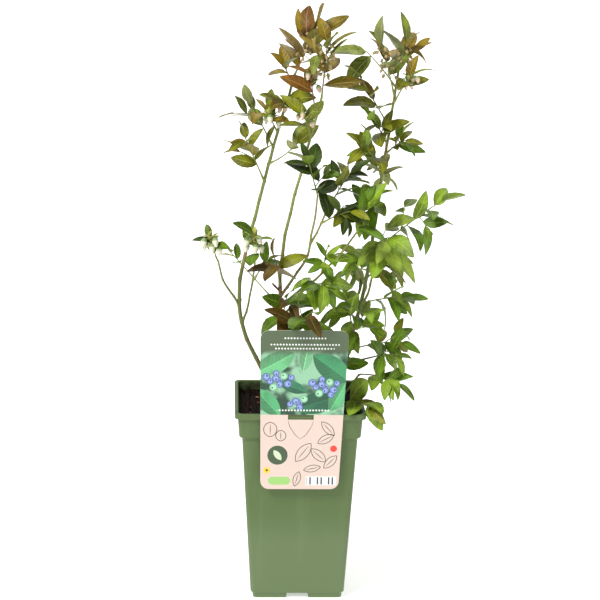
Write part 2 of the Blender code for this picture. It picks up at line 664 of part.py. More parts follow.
for part in (pot, peat, card):
    solid = evaluated_mesh(part)
    solid.transform(part.matrix_world)
    remember(part.name, solid)
    bpy.data.meshes.remove(solid)


# Canes and boughs: tapering tubes, flared at the peat

limb_paths = {}
for name, limb in LIMBS.items():
    points = [Vector(point) for point in limb.points]
    if limb.parent:
        points.insert(0, clear_start(limb.parent, limb.height, points[0], limb.radii[0]))
    path = smooth_path(points, 4)
    if not limb.parent:
        path.insert(1, path[0] + UP * FLARE_RING)
    limb_paths[name] = path
    radii = []
    for index, point in enumerate(path):
        share = index / (len(path) - 1)
        thick = limb.radii[0] + (limb.radii[1] - limb.radii[0]) * share
        if not limb.parent:
            thick *= 1 + FLARE * math.exp((path[0].z - point.z) / FLARE_REACH)
        radii.append(thick)
    part = add_part(name, tube(path, radii), BARK)
    part.data.shade_smooth()
    part.data.set_sharp_from_angle(angle=math.radians(50))
    remember(name, part.data)


# Masses: stems first, then side twigs, flowers and leaves that find room

def stem_mesh(stem, radii, steps, swell=0.0):
    """A bowed stem as a three-sided taper."""
    rings = []
    for step in range(steps + 1):
        t = step / steps
        radius = radii[0] + (radii[1] - radii[0]) * t + swell
        rings.append(ring(bow(*stem, t), bow_way(*stem, t), radius, 3))
    return loft(rings)


def fused(name, pieces, material):
    """One body from overlapping closed pieces, by one union on their collection."""
    pool = bpy.data.collections.new(f"{name}_pieces")
    bpy.context.scene.collection.children.link(pool)
    for index, mesh in enumerate(pieces[1:]):
        pool.objects.link(bpy.data.objects.new(f"{name}_{index}", mesh))
    base = add_part(name, pieces[0], material)
    modifier = add_boolean(base, "UNION", operand_type="COLLECTION", collection=pool)
    mesh = evaluated_mesh(base)
    base.modifiers.remove(modifier)
    base.data = mesh
    for piece in list(pool.objects):
        bpy.data.objects.remove(piece, do_unlink=True)
    bpy.data.collections.remove(pool)
    keep_main_body(mesh)
    mesh.materials.clear()
    mesh.materials.append(material)
    return base


def keep_main_body(mesh):
    """Drop loose scraps and the skins of sealed hollows: all but the largest shell of faces."""
    bm = bmesh.new()
    bm.from_mesh(mesh)
    bmesh.ops.triangulate(bm, faces=bm.faces[:])
    unseen = set(bm.faces)
    shells = []
    while unseen:
        front = [unseen.pop()]
        shell = set(front)
        while front:
            for edge in front.pop().edges:
                for face in edge.link_faces:
                    if face in unseen:
                        unseen.remove(face)
                        shell.add(face)
                        front.append(face)
        shells.append(shell)
    main = max(shells, key=len)
    bmesh.ops.delete(bm, geom=[face for face in bm.faces if face not in main], context="FACES")
    bm.to_mesh(mesh)
    bm.free()


pieces = {}
grown = {}
for shoot in SHOOTS:
    start = clear_start(shoot.limb, shoot.height, Vector(shoot.tip), STEM_RADIUS[0])
    stems, rows, rng = grow(shoot, start)
    main = stem_mesh(stems[0], STEM_RADIUS, STEM_STEPS)
    pieces[shoot.name] = [main]
    remember(shoot.name, main)
    grown[shoot.name] = (stems, rows, rng)

for shoot in SHOOTS:
    stems, rows, rng = grown[shoot.name]
    kept = [rows[0]]
    for stem, row in zip(stems[1:], rows[1:]):
        if is_clear(shoot.name, stem_mesh(stem, TWIG_RADIUS, TWIG_STEPS, CLEAR)):
            twig = stem_mesh(stem, TWIG_RADIUS, TWIG_STEPS)
            pieces[shoot.name].append(twig)
            remember(shoot.name, twig)
            kept.append(row)
    for root, way, hang in bells_of(shoot, stems[0], rng):
        flower = bell_meshes(root, way, hang)
        if is_clear(shoot.name, flower[0]) and is_clear(shoot.name, flower[1]):
            pieces[shoot.name] += flower
            remember(shoot.name, flower[0])
            remember(shoot.name, flower[1])
    grown[shoot.name] = kept

for shoot in SHOOTS:
    crowd = []
    for row in grown[shoot.name]:
        for leaf in row:
            blade = leaf_mesh(leaf)
            tree = tree_of(blade)
            if any(tree.overlap(other) for other in crowd):
                continue
            if not is_clear(shoot.name, leaf_mesh(leaf, CLEAR)):
                continue
            crowd.append(tree)
            pieces[shoot.name].append(blade)
            remember(shoot.name, blade)
    fused(shoot.name, pieces[shoot.name], LEAF[shoot.tint])
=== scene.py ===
"""Looks of a young blueberry bush in a square nursery pot with a card hung on its rim.

Lengths are metres, with the pot's underside centred on the origin and +Z up.  The plant's own
tables are in millimetres, as a gardener would measure it, and MM turns them into metres.
"""

import json
import math
import random
from collections import namedtuple

import bpy
import numpy as np
from mathutils import Matrix, Vector
from mathutils.bvhtree import BVHTree

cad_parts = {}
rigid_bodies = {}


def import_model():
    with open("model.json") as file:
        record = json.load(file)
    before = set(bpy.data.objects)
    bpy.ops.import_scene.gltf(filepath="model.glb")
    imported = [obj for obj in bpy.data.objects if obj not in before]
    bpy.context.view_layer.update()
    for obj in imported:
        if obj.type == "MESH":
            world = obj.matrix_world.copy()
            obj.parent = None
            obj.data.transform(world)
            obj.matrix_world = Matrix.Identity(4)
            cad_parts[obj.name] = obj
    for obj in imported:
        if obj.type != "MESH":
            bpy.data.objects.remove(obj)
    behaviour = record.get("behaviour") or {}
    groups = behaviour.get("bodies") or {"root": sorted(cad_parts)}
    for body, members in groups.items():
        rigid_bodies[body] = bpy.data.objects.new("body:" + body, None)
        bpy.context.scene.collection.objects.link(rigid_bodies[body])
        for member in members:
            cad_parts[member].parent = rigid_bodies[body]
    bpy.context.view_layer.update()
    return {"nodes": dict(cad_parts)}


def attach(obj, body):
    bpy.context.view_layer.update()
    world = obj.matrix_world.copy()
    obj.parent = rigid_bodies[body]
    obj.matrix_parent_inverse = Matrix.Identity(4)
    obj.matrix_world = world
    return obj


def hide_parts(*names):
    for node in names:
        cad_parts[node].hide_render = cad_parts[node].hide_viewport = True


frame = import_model()


# Camera.  The picture is taken from 1.8 m away through a long lens, a little above the top
# of the plant, turned slightly to the right and tipped down at the pot.

CAMERA_PLACE = Vector((-0.071, -1.7668, 0.7051))
CAMERA_YAW = math.radians(2.3)
CAMERA_PITCH = math.radians(12.87)
CAMERA_ROLL = math.radians(0.91)
CAMERA_LENS = 108.0
CAMERA_SENSOR = 36.0

ahead = Vector((math.sin(CAMERA_YAW) * math.cos(CAMERA_PITCH),
                math.cos(CAMERA_YAW) * math.cos(CAMERA_PITCH), -math.sin(CAMERA_PITCH)))
level = Vector((math.cos(CAMERA_YAW), -math.sin(CAMERA_YAW), 0.0))
above = level.cross(ahead)
across = level * math.cos(CAMERA_ROLL) + above * math.sin(CAMERA_ROLL)
upright = above * math.cos(CAMERA_ROLL) - level * math.sin(CAMERA_ROLL)
lens = bpy.data.cameras.new("camera")
lens.lens = CAMERA_LENS
lens.sensor_width = CAMERA_SENSOR
lens.sensor_fit = "HORIZONTAL"


def into_scene(name, data, facing=None):
    """Put an object in the scene, turned by a matrix if one is given."""
    thing = bpy.data.objects.new(name, data)
    if facing:
        thing.matrix_world = facing
    bpy.context.scene.collection.objects.link(thing)
    return thing


view = Matrix((across, upright, -ahead)).transposed().to_4x4()
bpy.context.scene.camera = into_scene("camera", lens, Matrix.Translation(CAMERA_PLACE) @ view)


# Studio.  A plain pale floor, a light table that glows a little, runs to a white sky.  A broad
# soft sun from the upper left models the leaves, a weaker one from the right opens the shade,
# and a third from behind lights their edges.

SKY_LIGHT = 0.28
SKY_COLOUR = (1.0, 1.0, 0.98, 1.0)
FLOOR_SIZE = 60.0
FLOOR_GLOW = 0.5
SHARP = math.radians(40)
SUNS = {
    "key_sun": ((-0.62, -0.62, 1.0), 18.0, 2.8),
    "fill_sun": ((0.8, -0.75, 0.75), 50.0, 0.5),
    "back_sun": ((0.2, 1.0, 1.1), 40.0, 0.9),
}

sky = bpy.data.worlds.new("studio")
sky.use_nodes = True
glow = sky.node_tree.nodes["Background"]
glow.inputs["Color"].default_value = SKY_COLOUR
glow.inputs["Strength"].default_value = SKY_LIGHT
backdrop, seen, either = (sky.node_tree.nodes.new(f"ShaderNode{kind}")
                          for kind in ("Background", "LightPath", "MixShader"))
backdrop.inputs["Color"].default_value = (1.0, 1.0, 1.0, 1.0)
for start, end in ((seen.outputs["Is Camera Ray"], either.inputs[0]), (glow.outputs[0], either.inputs[1]),
                   (backdrop.outputs[0], either.inputs[2]),
                   (either.outputs[0], sky.node_tree.nodes["World Output"].inputs["Surface"])):
    sky.node_tree.links.new(start, end)
bpy.context.scene.world = sky
bpy.context.scene.view_settings.view_transform = "Standard"
for sun_name, (toward, spread, strength) in SUNS.items():
    light = bpy.data.lights.new(sun_name, "SUN")
    light.angle = math.radians(spread)
    light.energy = strength
    into_scene(sun_name, light, Vector(toward).to_track_quat("Z", "Y").to_matrix().to_4x4())


def worked(operation):
    """A way to work with a figure that adds one Math node."""
    return lambda self, *others: self.math(operation, self, *others)


class Figure:
    """A number or colour that varies over a surface; arithmetic on it adds Math nodes."""

    __add__ = __radd__ = worked("ADD")
    __sub__ = worked("SUBTRACT")
    __mul__ = __rmul__ = worked("MULTIPLY")
    __truediv__ = worked("DIVIDE")
    __pow__ = worked("POWER")
    __abs__ = worked("ABSOLUTE")
    fraction = worked("FRACT")
    sine = worked("SINE")
    least = worked("MINIMUM")
    most = worked("MAXIMUM")

    def __init__(self, finish, socket):
        self.finish = finish
        self.socket = socket

    def __rsub__(self, other):
        return self.math("SUBTRACT", other, self)

    def math(self, operation, *terms):
        """One Math node on these terms."""
        return self.finish.node("ShaderNodeMath", {"operation": operation}, dict(enumerate(terms)))

    def axes(self):
        """The three numbers of a vector."""
        split = self.finish.node("ShaderNodeSeparateXYZ", None, {0: self})
        return [Figure(self.finish, output) for output in split.socket.node.outputs]

    def distance(self, point):
        """How far a vector is from a point."""
        return self.finish.node("ShaderNodeVectorMath", {"operation": "DISTANCE"}, {0: self, 1: point},
                                "Value")

    def rise(self, low, high):
        """Eases from 0 at low to 1 at high."""
        return self.finish.node("ShaderNodeMapRange", {"interpolation_type": "SMOOTHSTEP"},
                                {"Value": self, "From Min": low, "From Max": high})


def tint(colour):
    """A colour read as a picture shows it, from 0 to 255, as a shader's linear colour."""
    parts = [value / 255 for value in colour]
    return (*[p / 12.92 if p <= 0.04045 else ((p + 0.055) / 1.055) ** 2.4 for p in parts], 1.0)


class Finish:
    """A Principled material whose patterns are added as nodes, its colours given to tint."""

    def __init__(self, name, colour, roughness, **plain):
        self.material = bpy.data.materials.new(name)
        self.material.use_nodes = True
        self.tree = self.material.node_tree
        self.shader = self.tree.nodes["Principled BSDF"]
        self.feed("Base Color", tint(colour))
        self.feed("Roughness", roughness)
        for socket, value in plain.items():
            self.feed(socket.replace("_", " ").title().replace("Ior", "IOR"), value)
        self.place = self.node("ShaderNodeTexCoord", output="Object")

    def put(self, socket, value):
        """Link a figure to a socket, or set the socket's own value."""
        if isinstance(value, Figure):
            self.tree.links.new(value.socket, socket)
        else:
            socket.default_value = value

    def feed(self, socket, value):
        """Put a figure or a number on one of the shader's own sockets."""
        self.put(self.shader.inputs[socket], value)

    def node(self, kind, settings=None, sockets=None, output=0):
        """Add a node: its settings first, then its sockets' values or links."""
        made = self.tree.nodes.new(kind)
        for key, value in (settings or {}).items():
            setattr(made, key, value)
        for key, value in (sockets or {}).items():
            self.put(made.inputs[key], value)
        return Figure(self, made.outputs[output])

    def map_axes(self):
        """The numbers of the piece's own map: across, along, and an unused third."""
        return self.node("ShaderNodeUVMap", {"uv_map": "along"}).axes()

    def noise(self, scale, detail=2.0, stretch=(1.0, 1.0, 1.0)):
        """Cloudy noise from 0 to 1 on the object's own coordinates, stretched along an axis."""
        spread = self.node("ShaderNodeMapping", None, {"Vector": self.place, "Scale": stretch})
        return self.node("ShaderNodeTexNoise", None, {"Vector": spread, "Scale": scale, "Detail": detail})

    def blend(self, mask, under, over):
        """One colour over another by a mask."""
        under, over = (tint(colour) if isinstance(colour, tuple) else colour for colour in (under, over))
        return self.node("ShaderNodeMix", {"data_type": "RGBA"}, {0: mask, 6: under, 7: over}, 2)

    def bump(self, height, depth):
        """Relief of a height figure, of that depth in metres."""
        self.feed("Normal", self.node("ShaderNodeBump", None, {"Height": height, "Distance": depth}))


def grid_faces(rows, columns, closed=False):
    """Quads of a grid of points numbered row by row; closed joins the last column to the first."""
    index = np.arange(rows * columns).reshape(rows, columns)
    left = index if closed else index[:, :-1]
    right = np.roll(index, -1, axis=1) if closed else index[:, 1:]
    return np.stack([left[:-1], right[:-1], right[1:], left[1:]], axis=-1).reshape(-1, 4)


def settled(thing):
    """An object's mesh as its curve or its modifiers make it."""
    bpy.context.view_layer.update()
    return bpy.data.meshes.new_from_object(thing.evaluated_get(bpy.context.evaluated_depsgraph_get()))


def add_piece(name, points, faces, finish, replaced=(), coordinates=None, smooth=True):
    """Make a mesh piece that rides on the part's one body and stands for CAD nodes."""
    mesh = bpy.data.meshes.new(name)
    mesh.from_pydata(np.asarray(points).reshape(-1, 3).tolist(), [], [list(face) for face in faces])
    if coordinates is not None:
        corners = np.empty(len(mesh.loops), np.int64)
        mesh.loops.foreach_get("vertex_index", corners)
        layer = mesh.uv_layers.new(name="along")
        layer.data.foreach_set("uv", np.asarray(coordinates).reshape(-1, 2)[corners].ravel())
    if smooth:
        mesh.shade_smooth()
        mesh.set_sharp_from_angle(angle=SHARP)
    for part in finish if isinstance(finish, list) else [finish]:
        mesh.materials.append(part.material)
    piece = into_scene(name, mesh)
    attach(piece, "root")
    if replaced:
        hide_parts(*replaced)
    return piece


paper = Finish("pale_floor", (247, 247, 247), 0.9, emission_strength=FLOOR_GLOW)
paper.bump(paper.noise(40.0, 3.0), 0.0002)
floor_mesh = bpy.data.meshes.new("floor")
floor_corners = np.array([(-1, -1, 0), (1, -1, 0), (1, 1, 0), (-1, 1, 0)]) * FLOOR_SIZE / 2
floor_mesh.from_pydata(floor_corners.tolist(), [], [(0, 1, 2, 3)])
floor_mesh.materials.append(paper.material)
floor = into_scene("floor", floor_mesh)


# Pot.  A square nursery pot of thin moulded polypropylene in moss green: a tapering body, a
# collar that lets pots nest, and a turned lip.  Notches and holes in the foot let water out.

POT_HEIGHT = 0.200
RIM_HALF = 0.065
LIP_FOOT = 0.194
LIP_WIDTH = 0.0035
COLLAR_FOOT = 0.1746
BODY_TOP = 0.1722
POT_FLOOR = 0.0075
CORNER_SHARE = 0.095
POT_OUTSIDE = [(0.0450, 0.0), (0.0458, 0.0052), (0.0476, 0.0066), (0.0576, BODY_TOP),
               (0.0606, COLLAR_FOOT), (0.0620, LIP_FOOT), (RIM_HALF, LIP_FOOT + 0.0003)]
POT_LIP = [(RIM_HALF, POT_HEIGHT), (RIM_HALF - LIP_WIDTH, POT_HEIGHT)]
POT_INSIDE = [(0.0604, LIP_FOOT), (0.0590, COLLAR_FOOT), (0.0560, BODY_TOP), (0.0460, POT_FLOOR)]
EDGE_EASE = 0.0010
NOTCH_SPANS = ((-0.012, 0.012), (-0.050, -0.026), (-0.005, 0.0052))
NOTCH_WIDENING = (1.03, 0.88)
DRAIN_RADIUS = 0.004
DRAIN_REACH = 0.033
DRAIN_SPAN = (0.001, 0.02)
DRAIN_SIDES = 16
PALE_FOOT = (0.055, 0.10)
DUSTY_ABOVE = (0.12, 0.2)
# The inside wall is darker from peat stains and from painted shade; the painted shade fades out between these
# heights, and the darker finish stops just under the lip.
STAIN_SHADE_ABOVE = (0.190, 0.199)
STAIN_SHADE_TOP = 0.198
SMUDGE_PLACE = (-0.063, -0.055, 0.196)
SMUDGE_REACH = (0.002, 0.010)
BOX_SIDES = [[(k >> axis) & 1 for axis in range(3)] for k in range(8)]
BOX_FACES = [(0, 2, 3, 1), (4, 5, 7, 6), (0, 1, 5, 4), (2, 6, 7, 3), (0, 4, 6, 2), (1, 3, 7, 5)]


def eased(profile, ease, steps=3):
    """A profile with each inner corner cut back by ease and bridged by a quadratic curve:
    (1-t)^2 before + 2t(1-t) corner + t^2 after."""
    profile = np.array(profile, float)
    out = [profile[0]]
    for before, corner, after in zip(profile, profile[1:], profile[2:]):
        start = corner + (before - corner) * min(0.45, ease / np.linalg.norm(before - corner))
        end = corner + (after - corner) * min(0.45, ease / np.linalg.norm(after - corner))
        for t in np.linspace(0, 1, steps + 1):
            out.append((1 - t) ** 2 * start + 2 * t * (1 - t) * corner + t ** 2 * end)
    out.append(profile[-1])
    return np.array(out)


def turns(count):
    """Angles set evenly round a circle."""
    return np.linspace(0, 2 * np.pi, count, endpoint=False)


def square_ring(halves, heights, steps=7):
    """Rounded squares, one per row: four corner arcs of CORNER_SHARE of the half width, each
    centred at (half - radius) along both axes."""
    quarter = np.repeat(np.arange(4) * np.pi / 2, steps)
    turn = quarter + np.tile(np.linspace(0, np.pi / 2, steps), 4)
    middle = quarter + np.pi / 4
    outline = (1 - CORNER_SHARE) * np.sqrt(2) * np.stack([np.cos(middle), np.sin(middle)])
    outline = outline + CORNER_SHARE * np.stack([np.cos(turn), np.sin(turn)])
    halves = np.asarray(halves)[:, None]
    heights = np.broadcast_to(np.asarray(heights)[:, None], (len(halves), len(turn)))
    return np.stack([halves * outline[0], halves * outline[1], heights], axis=-1)


def capped(rows, columns):
    """Faces of closed rings with a flat cap on the first and the last."""
    last = (rows - 1) * columns
    return [*grid_faces(rows, columns, closed=True).tolist(), list(range(columns))[::-1],
            list(range(last, last + columns))]


pot_green = Finish("moulded_green", (121, 143, 99), 0.42, specular_ior_level=0.32)
_, _, z = pot_green.place.axes()
mottle = pot_green.noise(35.0, 4.0)
flow = pot_green.noise(60.0, 3.0, (1.0, 1.0, 0.12))
dust = pot_green.noise(240.0, 5.0)
foot_pale = 1 - z.rise(*PALE_FOOT)
green = pot_green.blend(foot_pale * 0.65 + mottle * 0.2, (82, 103, 56), (102, 120, 83))
green = pot_green.blend(flow.rise(0.55, 0.8) * 0.2, green, (119, 137, 98))
specks = dust.rise(0.66, 0.74) * z.rise(*DUSTY_ABOVE) * 0.5
smudge = (1 - pot_green.place.distance(SMUDGE_PLACE).rise(*SMUDGE_REACH)) * dust.rise(0.35, 0.6)
pot_green.feed("Base Color", pot_green.blend((specks + smudge).least(1.0), green, (58, 44, 32)))
pot_green.feed("Roughness", 0.36 + mottle * 0.2 + specks * 0.3)
pot_green.bump(pot_green.noise(900.0, 2.0) * 0.5 + flow * 0.5, 0.00012)
# Inside wall: a darker green with peat stains in splashes, and painted shade of the pot's hollow that deepens
# down towards the peat.
stained_shaded_wall = Finish("stained_inside", (70, 75, 48), 0.6, specular_ior_level=0.2)
_, _, z = stained_shaded_wall.place.axes()
splash = stained_shaded_wall.noise(130.0, 4.0)
stain_and_shade = (1 - z.rise(*STAIN_SHADE_ABOVE)) * 0.45 + splash.rise(0.35, 0.6) * 0.55
stained_shaded_wall.feed("Base Color", stained_shaded_wall.blend(stain_and_shade, (74, 90, 52), (24, 20, 14)))
stained_shaded_wall.bump(splash, 0.0002)

profile = eased(POT_OUTSIDE + POT_LIP + POT_INSIDE, EDGE_EASE)
body = square_ring(profile[:, 0], profile[:, 1])
pot = add_piece("moulded_pot", body, capped(len(body), body.shape[1]), [pot_green, stained_shaded_wall],
                ["pot"])
notch = np.array([(NOTCH_SPANS[0][x] * NOTCH_WIDENING[z], NOTCH_SPANS[1][y], NOTCH_SPANS[2][z])
                  for x, y, z in BOX_SIDES])
drain = np.array([(math.cos(angle) * DRAIN_RADIUS, math.sin(angle) * DRAIN_RADIUS - DRAIN_REACH, height)
                  for height in DRAIN_SPAN for angle in turns(DRAIN_SIDES)])
cutters = []
for side in range(4):
    quarter = np.array(Matrix.Rotation(side * math.pi / 2, 3, "Z"))
    for points, polygons in ((notch, BOX_FACES), (drain, capped(2, DRAIN_SIDES))):
        mesh = bpy.data.meshes.new("cutter")
        mesh.from_pydata((points @ quarter.T).tolist(), [], polygons)
        cutters.append(into_scene("cutter", mesh))
        cut = pot.modifiers.new("cut", "BOOLEAN")
        cut.operation = "DIFFERENCE"
        cut.object = cutters[-1]
finished = settled(pot)
pot.modifiers.clear()
pot.data = finished
finished.set_sharp_from_angle(angle=SHARP)
# Inward wall faces below the lip take the second finish, with its stains and painted shade.
for face in finished.polygons:
    inward = face.normal.xy.dot(face.center.xy) < -0.5 * face.center.xy.length
    face.material_index = int(inward and POT_FLOOR < face.center.z < STAIN_SHADE_TOP)
for cutter in cutters:
    bpy.data.objects.remove(cutter, do_unlink=True)


# Peat.  Moist dark peat with bark chips fills the pot to 10 mm below the rim; its top is
# crumbly, with a few red-brown and tan chips lying loose on it.

PEAT_TOP = 0.190
PEAT_RINGS = 40
CRUMB_HEIGHT = 0.0016
CRUMB_SINK = 0.6
CRUMB_WAVES = ((12.0, 0.3, 0.9), (7.0, 1.4, 0.7), (4.1, 2.3, 0.6), (2.7, 0.8, 0.5))
CHIPS = {"dark": (260, 1.8, (30, 18, 13)), "red": (60, 2.8, (84, 42, 26)), "tan": (22, 2.6, (158, 116, 74))}
CHIP_SHAPE = np.array([1.3, 0.7, 0.3])
CHIP_SPREAD = 0.055


def crumbs(x, y):
    """Height of the peat over its level: a sum of sines of unlike pitch and direction, whose
    products make lumps of 2 to 12 mm, sunk by CRUMB_SINK."""
    height = np.full_like(x, -CRUMB_SINK)
    for pitch, angle, share in CRUMB_WAVES:
        u = (x * math.cos(angle) + y * math.sin(angle)) * 1000 / pitch * 2 * math.pi
        v = (y * math.cos(angle) - x * math.sin(angle)) * 1000 / pitch * 2 * math.pi
        height += share * np.sin(u + 1.7 * np.sin(v * 0.7)) * np.cos(v + 1.3 * np.sin(u * 0.6))
    return CRUMB_HEIGHT * height


peat = Finish("moist_peat", (38, 29, 23), 0.92, specular_ior_level=0.1)
lumps = peat.noise(380.0, 6.0)
earth = peat.blend(lumps.rise(0.42, 0.62), (7, 4, 3), (28, 15, 10))
peat.feed("Base Color", peat.blend(peat.noise(700.0, 3.0).rise(0.62, 0.7), earth, (74, 46, 30)))
peat.bump(lumps, 0.0012)

wall = [(0.0456, POT_FLOOR + 0.0003), (0.0557, BODY_TOP), (0.0587, COLLAR_FOOT), (0.0597, PEAT_TOP - 0.001)]
shares = np.linspace(1.0, 0.02, PEAT_RINGS)[1:]
halves, heights = np.array(wall + [(wall[-1][0] * share, PEAT_TOP) for share in shares]).T
ground = square_ring(halves, heights, 16)
loose = ground[len(wall):]
loose[..., 2] += crumbs(loose[..., 0], loose[..., 1])
add_piece("peat_bed", ground, capped(len(ground), ground.shape[1]), peat, ["soil"])

for kind, (count, size, colour) in CHIPS.items():
    draw = np.random.default_rng(len(f"peat_chips_{kind}") + count)
    darker = tuple(part // 2 for part in colour)
    chip = Finish(f"peat_chips_{kind}", colour, 0.85, specular_ior_level=0.15)
    grain = chip.noise(900.0, 3.0, (1.0, 0.3, 1.0))
    chip.feed("Base Color", chip.blend(grain.rise(0.4, 0.7) * 0.6, colour, darker))
    chip.bump(grain, 0.0003)
    cube = (np.array(BOX_SIDES) * 2 - 1) * draw.uniform(0.65, 1.15, (count, 8, 3))
    cube *= (draw.uniform(0.3, 1.0, (count, 1, 3)) * CHIP_SHAPE) * size * 0.001
    turn = draw.uniform(0, 2 * np.pi, (count, 1))
    tip_up = draw.uniform(-0.5, 0.5, (count, 1))
    cx, cy, cz = np.moveaxis(cube, 2, 0)
    spun = np.stack([cx * np.cos(turn) - cy * np.sin(turn), cx * np.sin(turn) + cy * np.cos(turn),
                     cz + cx * tip_up], axis=-1)
    sx, sy = draw.uniform(-CHIP_SPREAD, CHIP_SPREAD, (count, 2)).T
    chips = spun + np.stack([sx, sy, PEAT_TOP + crumbs(sx, sy)], axis=1)[:, None]
    faces = (np.arange(count)[:, None, None] * 8 + np.array(BOX_FACES)).reshape(-1, 4)
    add_piece(f"peat_chips_{kind}", chips, faces, chip, smooth=False)


# Card.  A die-cut card of 0.8 mm plastic, printed in green with berries above and in peach
# with line drawings below.  A slot takes the pot's lip, and a strap bent from it hooks over.

CARD_TOP = 0.287
CARD_FOOT = 0.122
CARD_TOP_HALF = 0.0433
CARD_FOOT_HALF = 0.0388
CARD_SHIFT = (0.0025, -0.0003)
CARD_THICK = 0.0008
CARD_CORNER = 0.0085
CARD_LEAN = math.radians(3.0)
CARD_EDGE = 0.00012
SEAT_GAP = 0.0003
SLOT_HALF = 0.0127
SLOT = (0.1951, 0.2002)
TONGUE = [(-0.0127, 0.1938), (-0.0108, 0.1875), (-0.0058, 0.1795), (0.0, 0.1745)]
TONGUE_CUT = (0.00035, 0.000455)
STRAP_SHARE = 0.96
STRAP_BEND = 0.0012
HOOK_DROP = 0.0105
LEG_Y = -0.0594
HAIR = 0.00012
HEADER_FOOT = 0.2003
BAND_FOOT = 0.2640
VEIN_PITCH = 0.0046
LEAF_MARKS = [((-0.026, 0.2535), 0.044, 0.021, 0.5, (104, 184, 124)),
              ((0.030, 0.2480), 0.048, 0.024, 2.5, (58, 142, 92)),
              ((0.016, 0.2130), 0.046, 0.022, 0.3, (34, 104, 70)),
              ((-0.033, 0.2130), 0.038, 0.018, 2.3, (80, 166, 108)),
              ((0.004, 0.2600), 0.030, 0.013, 1.4, (128, 204, 146)),
              ((0.036, 0.2190), 0.034, 0.016, 1.1, (92, 178, 118)),
              ((-0.008, 0.2290), 0.030, 0.012, 2.8, (44, 122, 84))]
BUNCHES = [(-0.022, 0.2360, 10), (0.023, 0.2300, 11), (-0.002, 0.2125, 5)]
BERRY = 0.0036
BUNCH_SPREAD = (1.25, 0.85)
BUNCH_TURN = 2.4
EYE_TURN = 5.0
EYE_SHIFT = 0.3
RIPE = ((150, 172, 226), (44, 58, 122))
UNRIPE = ((176, 226, 186), (84, 150, 112))
BEAD_PITCH = 0.0030
BEAD_ROWS = ((0.2790, 0.021), (0.2725, 0.034), (0.2685, 0.029), (0.2050, 0.026))
DRAWINGS = [((-0.030, 0.1850), 0.015, 0.013, 1.57), ((-0.0195, 0.1785), 0.011, 0.010, 1.57),
            ((0.027, 0.1860), 0.019, 0.008, 2.3), ((0.025, 0.1750), 0.018, 0.008, 0.5),
            ((0.003, 0.1610), 0.024, 0.011, 0.9), ((0.018, 0.1580), 0.020, 0.009, 2.4),
            ((0.0300, 0.1510), 0.018, 0.008, 0.8), ((0.0120, 0.1440), 0.017, 0.007, 0.2),
            ((-0.0030, 0.1330), 0.016, 0.007, 1.3)]
INK = (44, 38, 36)
SPOTS = [((0.0330, 0.1650), 0.0034, (214, 62, 44)), ((-0.0330, 0.1420), 0.0034, (240, 196, 52)),
         ((-0.0330, 0.1420), 0.0012, (60, 52, 46))]
BADGE = (-0.0225, 0.1580)
BARS = (0.0210, 0.1310)
BAR_PITCHES = (0.0037, 0.0111)
PATCHES = [(BADGE, (0.0100, 0.0100), 0.010, (62, 82, 54)),
           ((-0.0205, 0.1310), (0.0110, 0.0042), 0.0042, (150, 196, 110)),
           (BARS, (0.0150, 0.0045), 0.0005, (236, 238, 236))]


def unit(vectors):
    """Vectors made one long."""
    return vectors / np.linalg.norm(vectors, axis=-1, keepdims=True)


def card_outline(steps=8):
    """The card's tapered outline, its four corners turned by arcs of CARD_CORNER."""
    top, foot = CARD_SHIFT
    corners = np.array([(top + CARD_TOP_HALF, CARD_TOP), (top - CARD_TOP_HALF, CARD_TOP),
                        (foot - CARD_FOOT_HALF, CARD_FOOT), (foot + CARD_FOOT_HALF, CARD_FOOT)])
    outline = []
    for before, corner, after in zip(np.roll(corners, 1, 0), corners, np.roll(corners, -1, 0)):
        back, on = unit(before - corner), unit(after - corner)
        half = math.acos(back @ on) / 2
        middle = corner + unit(back + on) * CARD_CORNER / math.sin(half)
        start = corner + back * CARD_CORNER / math.tan(half) - middle
        for turn in np.linspace(0, math.pi - 2 * half, steps):
            outline.append((middle[0] + start[0] * math.cos(turn) - start[1] * math.sin(turn),
                            middle[1] + start[0] * math.sin(turn) + start[1] * math.cos(turn)))
    return outline


def shade(colour, share):
    """A picture colour made darker or lighter."""
    return tuple(min(255, part * share) for part in colour)


def leaf_mark(flat, centre, length, width, slant):
    """Distance to a pointed oval's edge, in its inside direction: two discs of radius
    (l^2 + w^2) / 2w, set apart across the oval, meet at its points."""
    a, b = length / 2, width / 2
    radius = (a * a + b * b) / (2 * b)
    dx, dz = -math.sin(slant) * (radius - b), math.cos(slant) * (radius - b)
    first = flat.distance((centre[0] + dx, 0.0, centre[1] + dz))
    return radius - first.most(flat.distance((centre[0] - dx, 0.0, centre[1] - dz)))


def patch(x, z, centre, half, corner):
    """Mask of a rounded rectangle: its corner distance, sqrt(max(dx, 0)^2 + max(dz, 0)^2), under
    the corner radius."""
    dx, dz = ((abs(place - middle) - (reach - corner)).most(0.0)
              for place, middle, reach in zip((x, z), centre, half))
    return 1 - ((dx * dx + dz * dz) ** 0.5).rise(corner - HAIR, corner + HAIR)


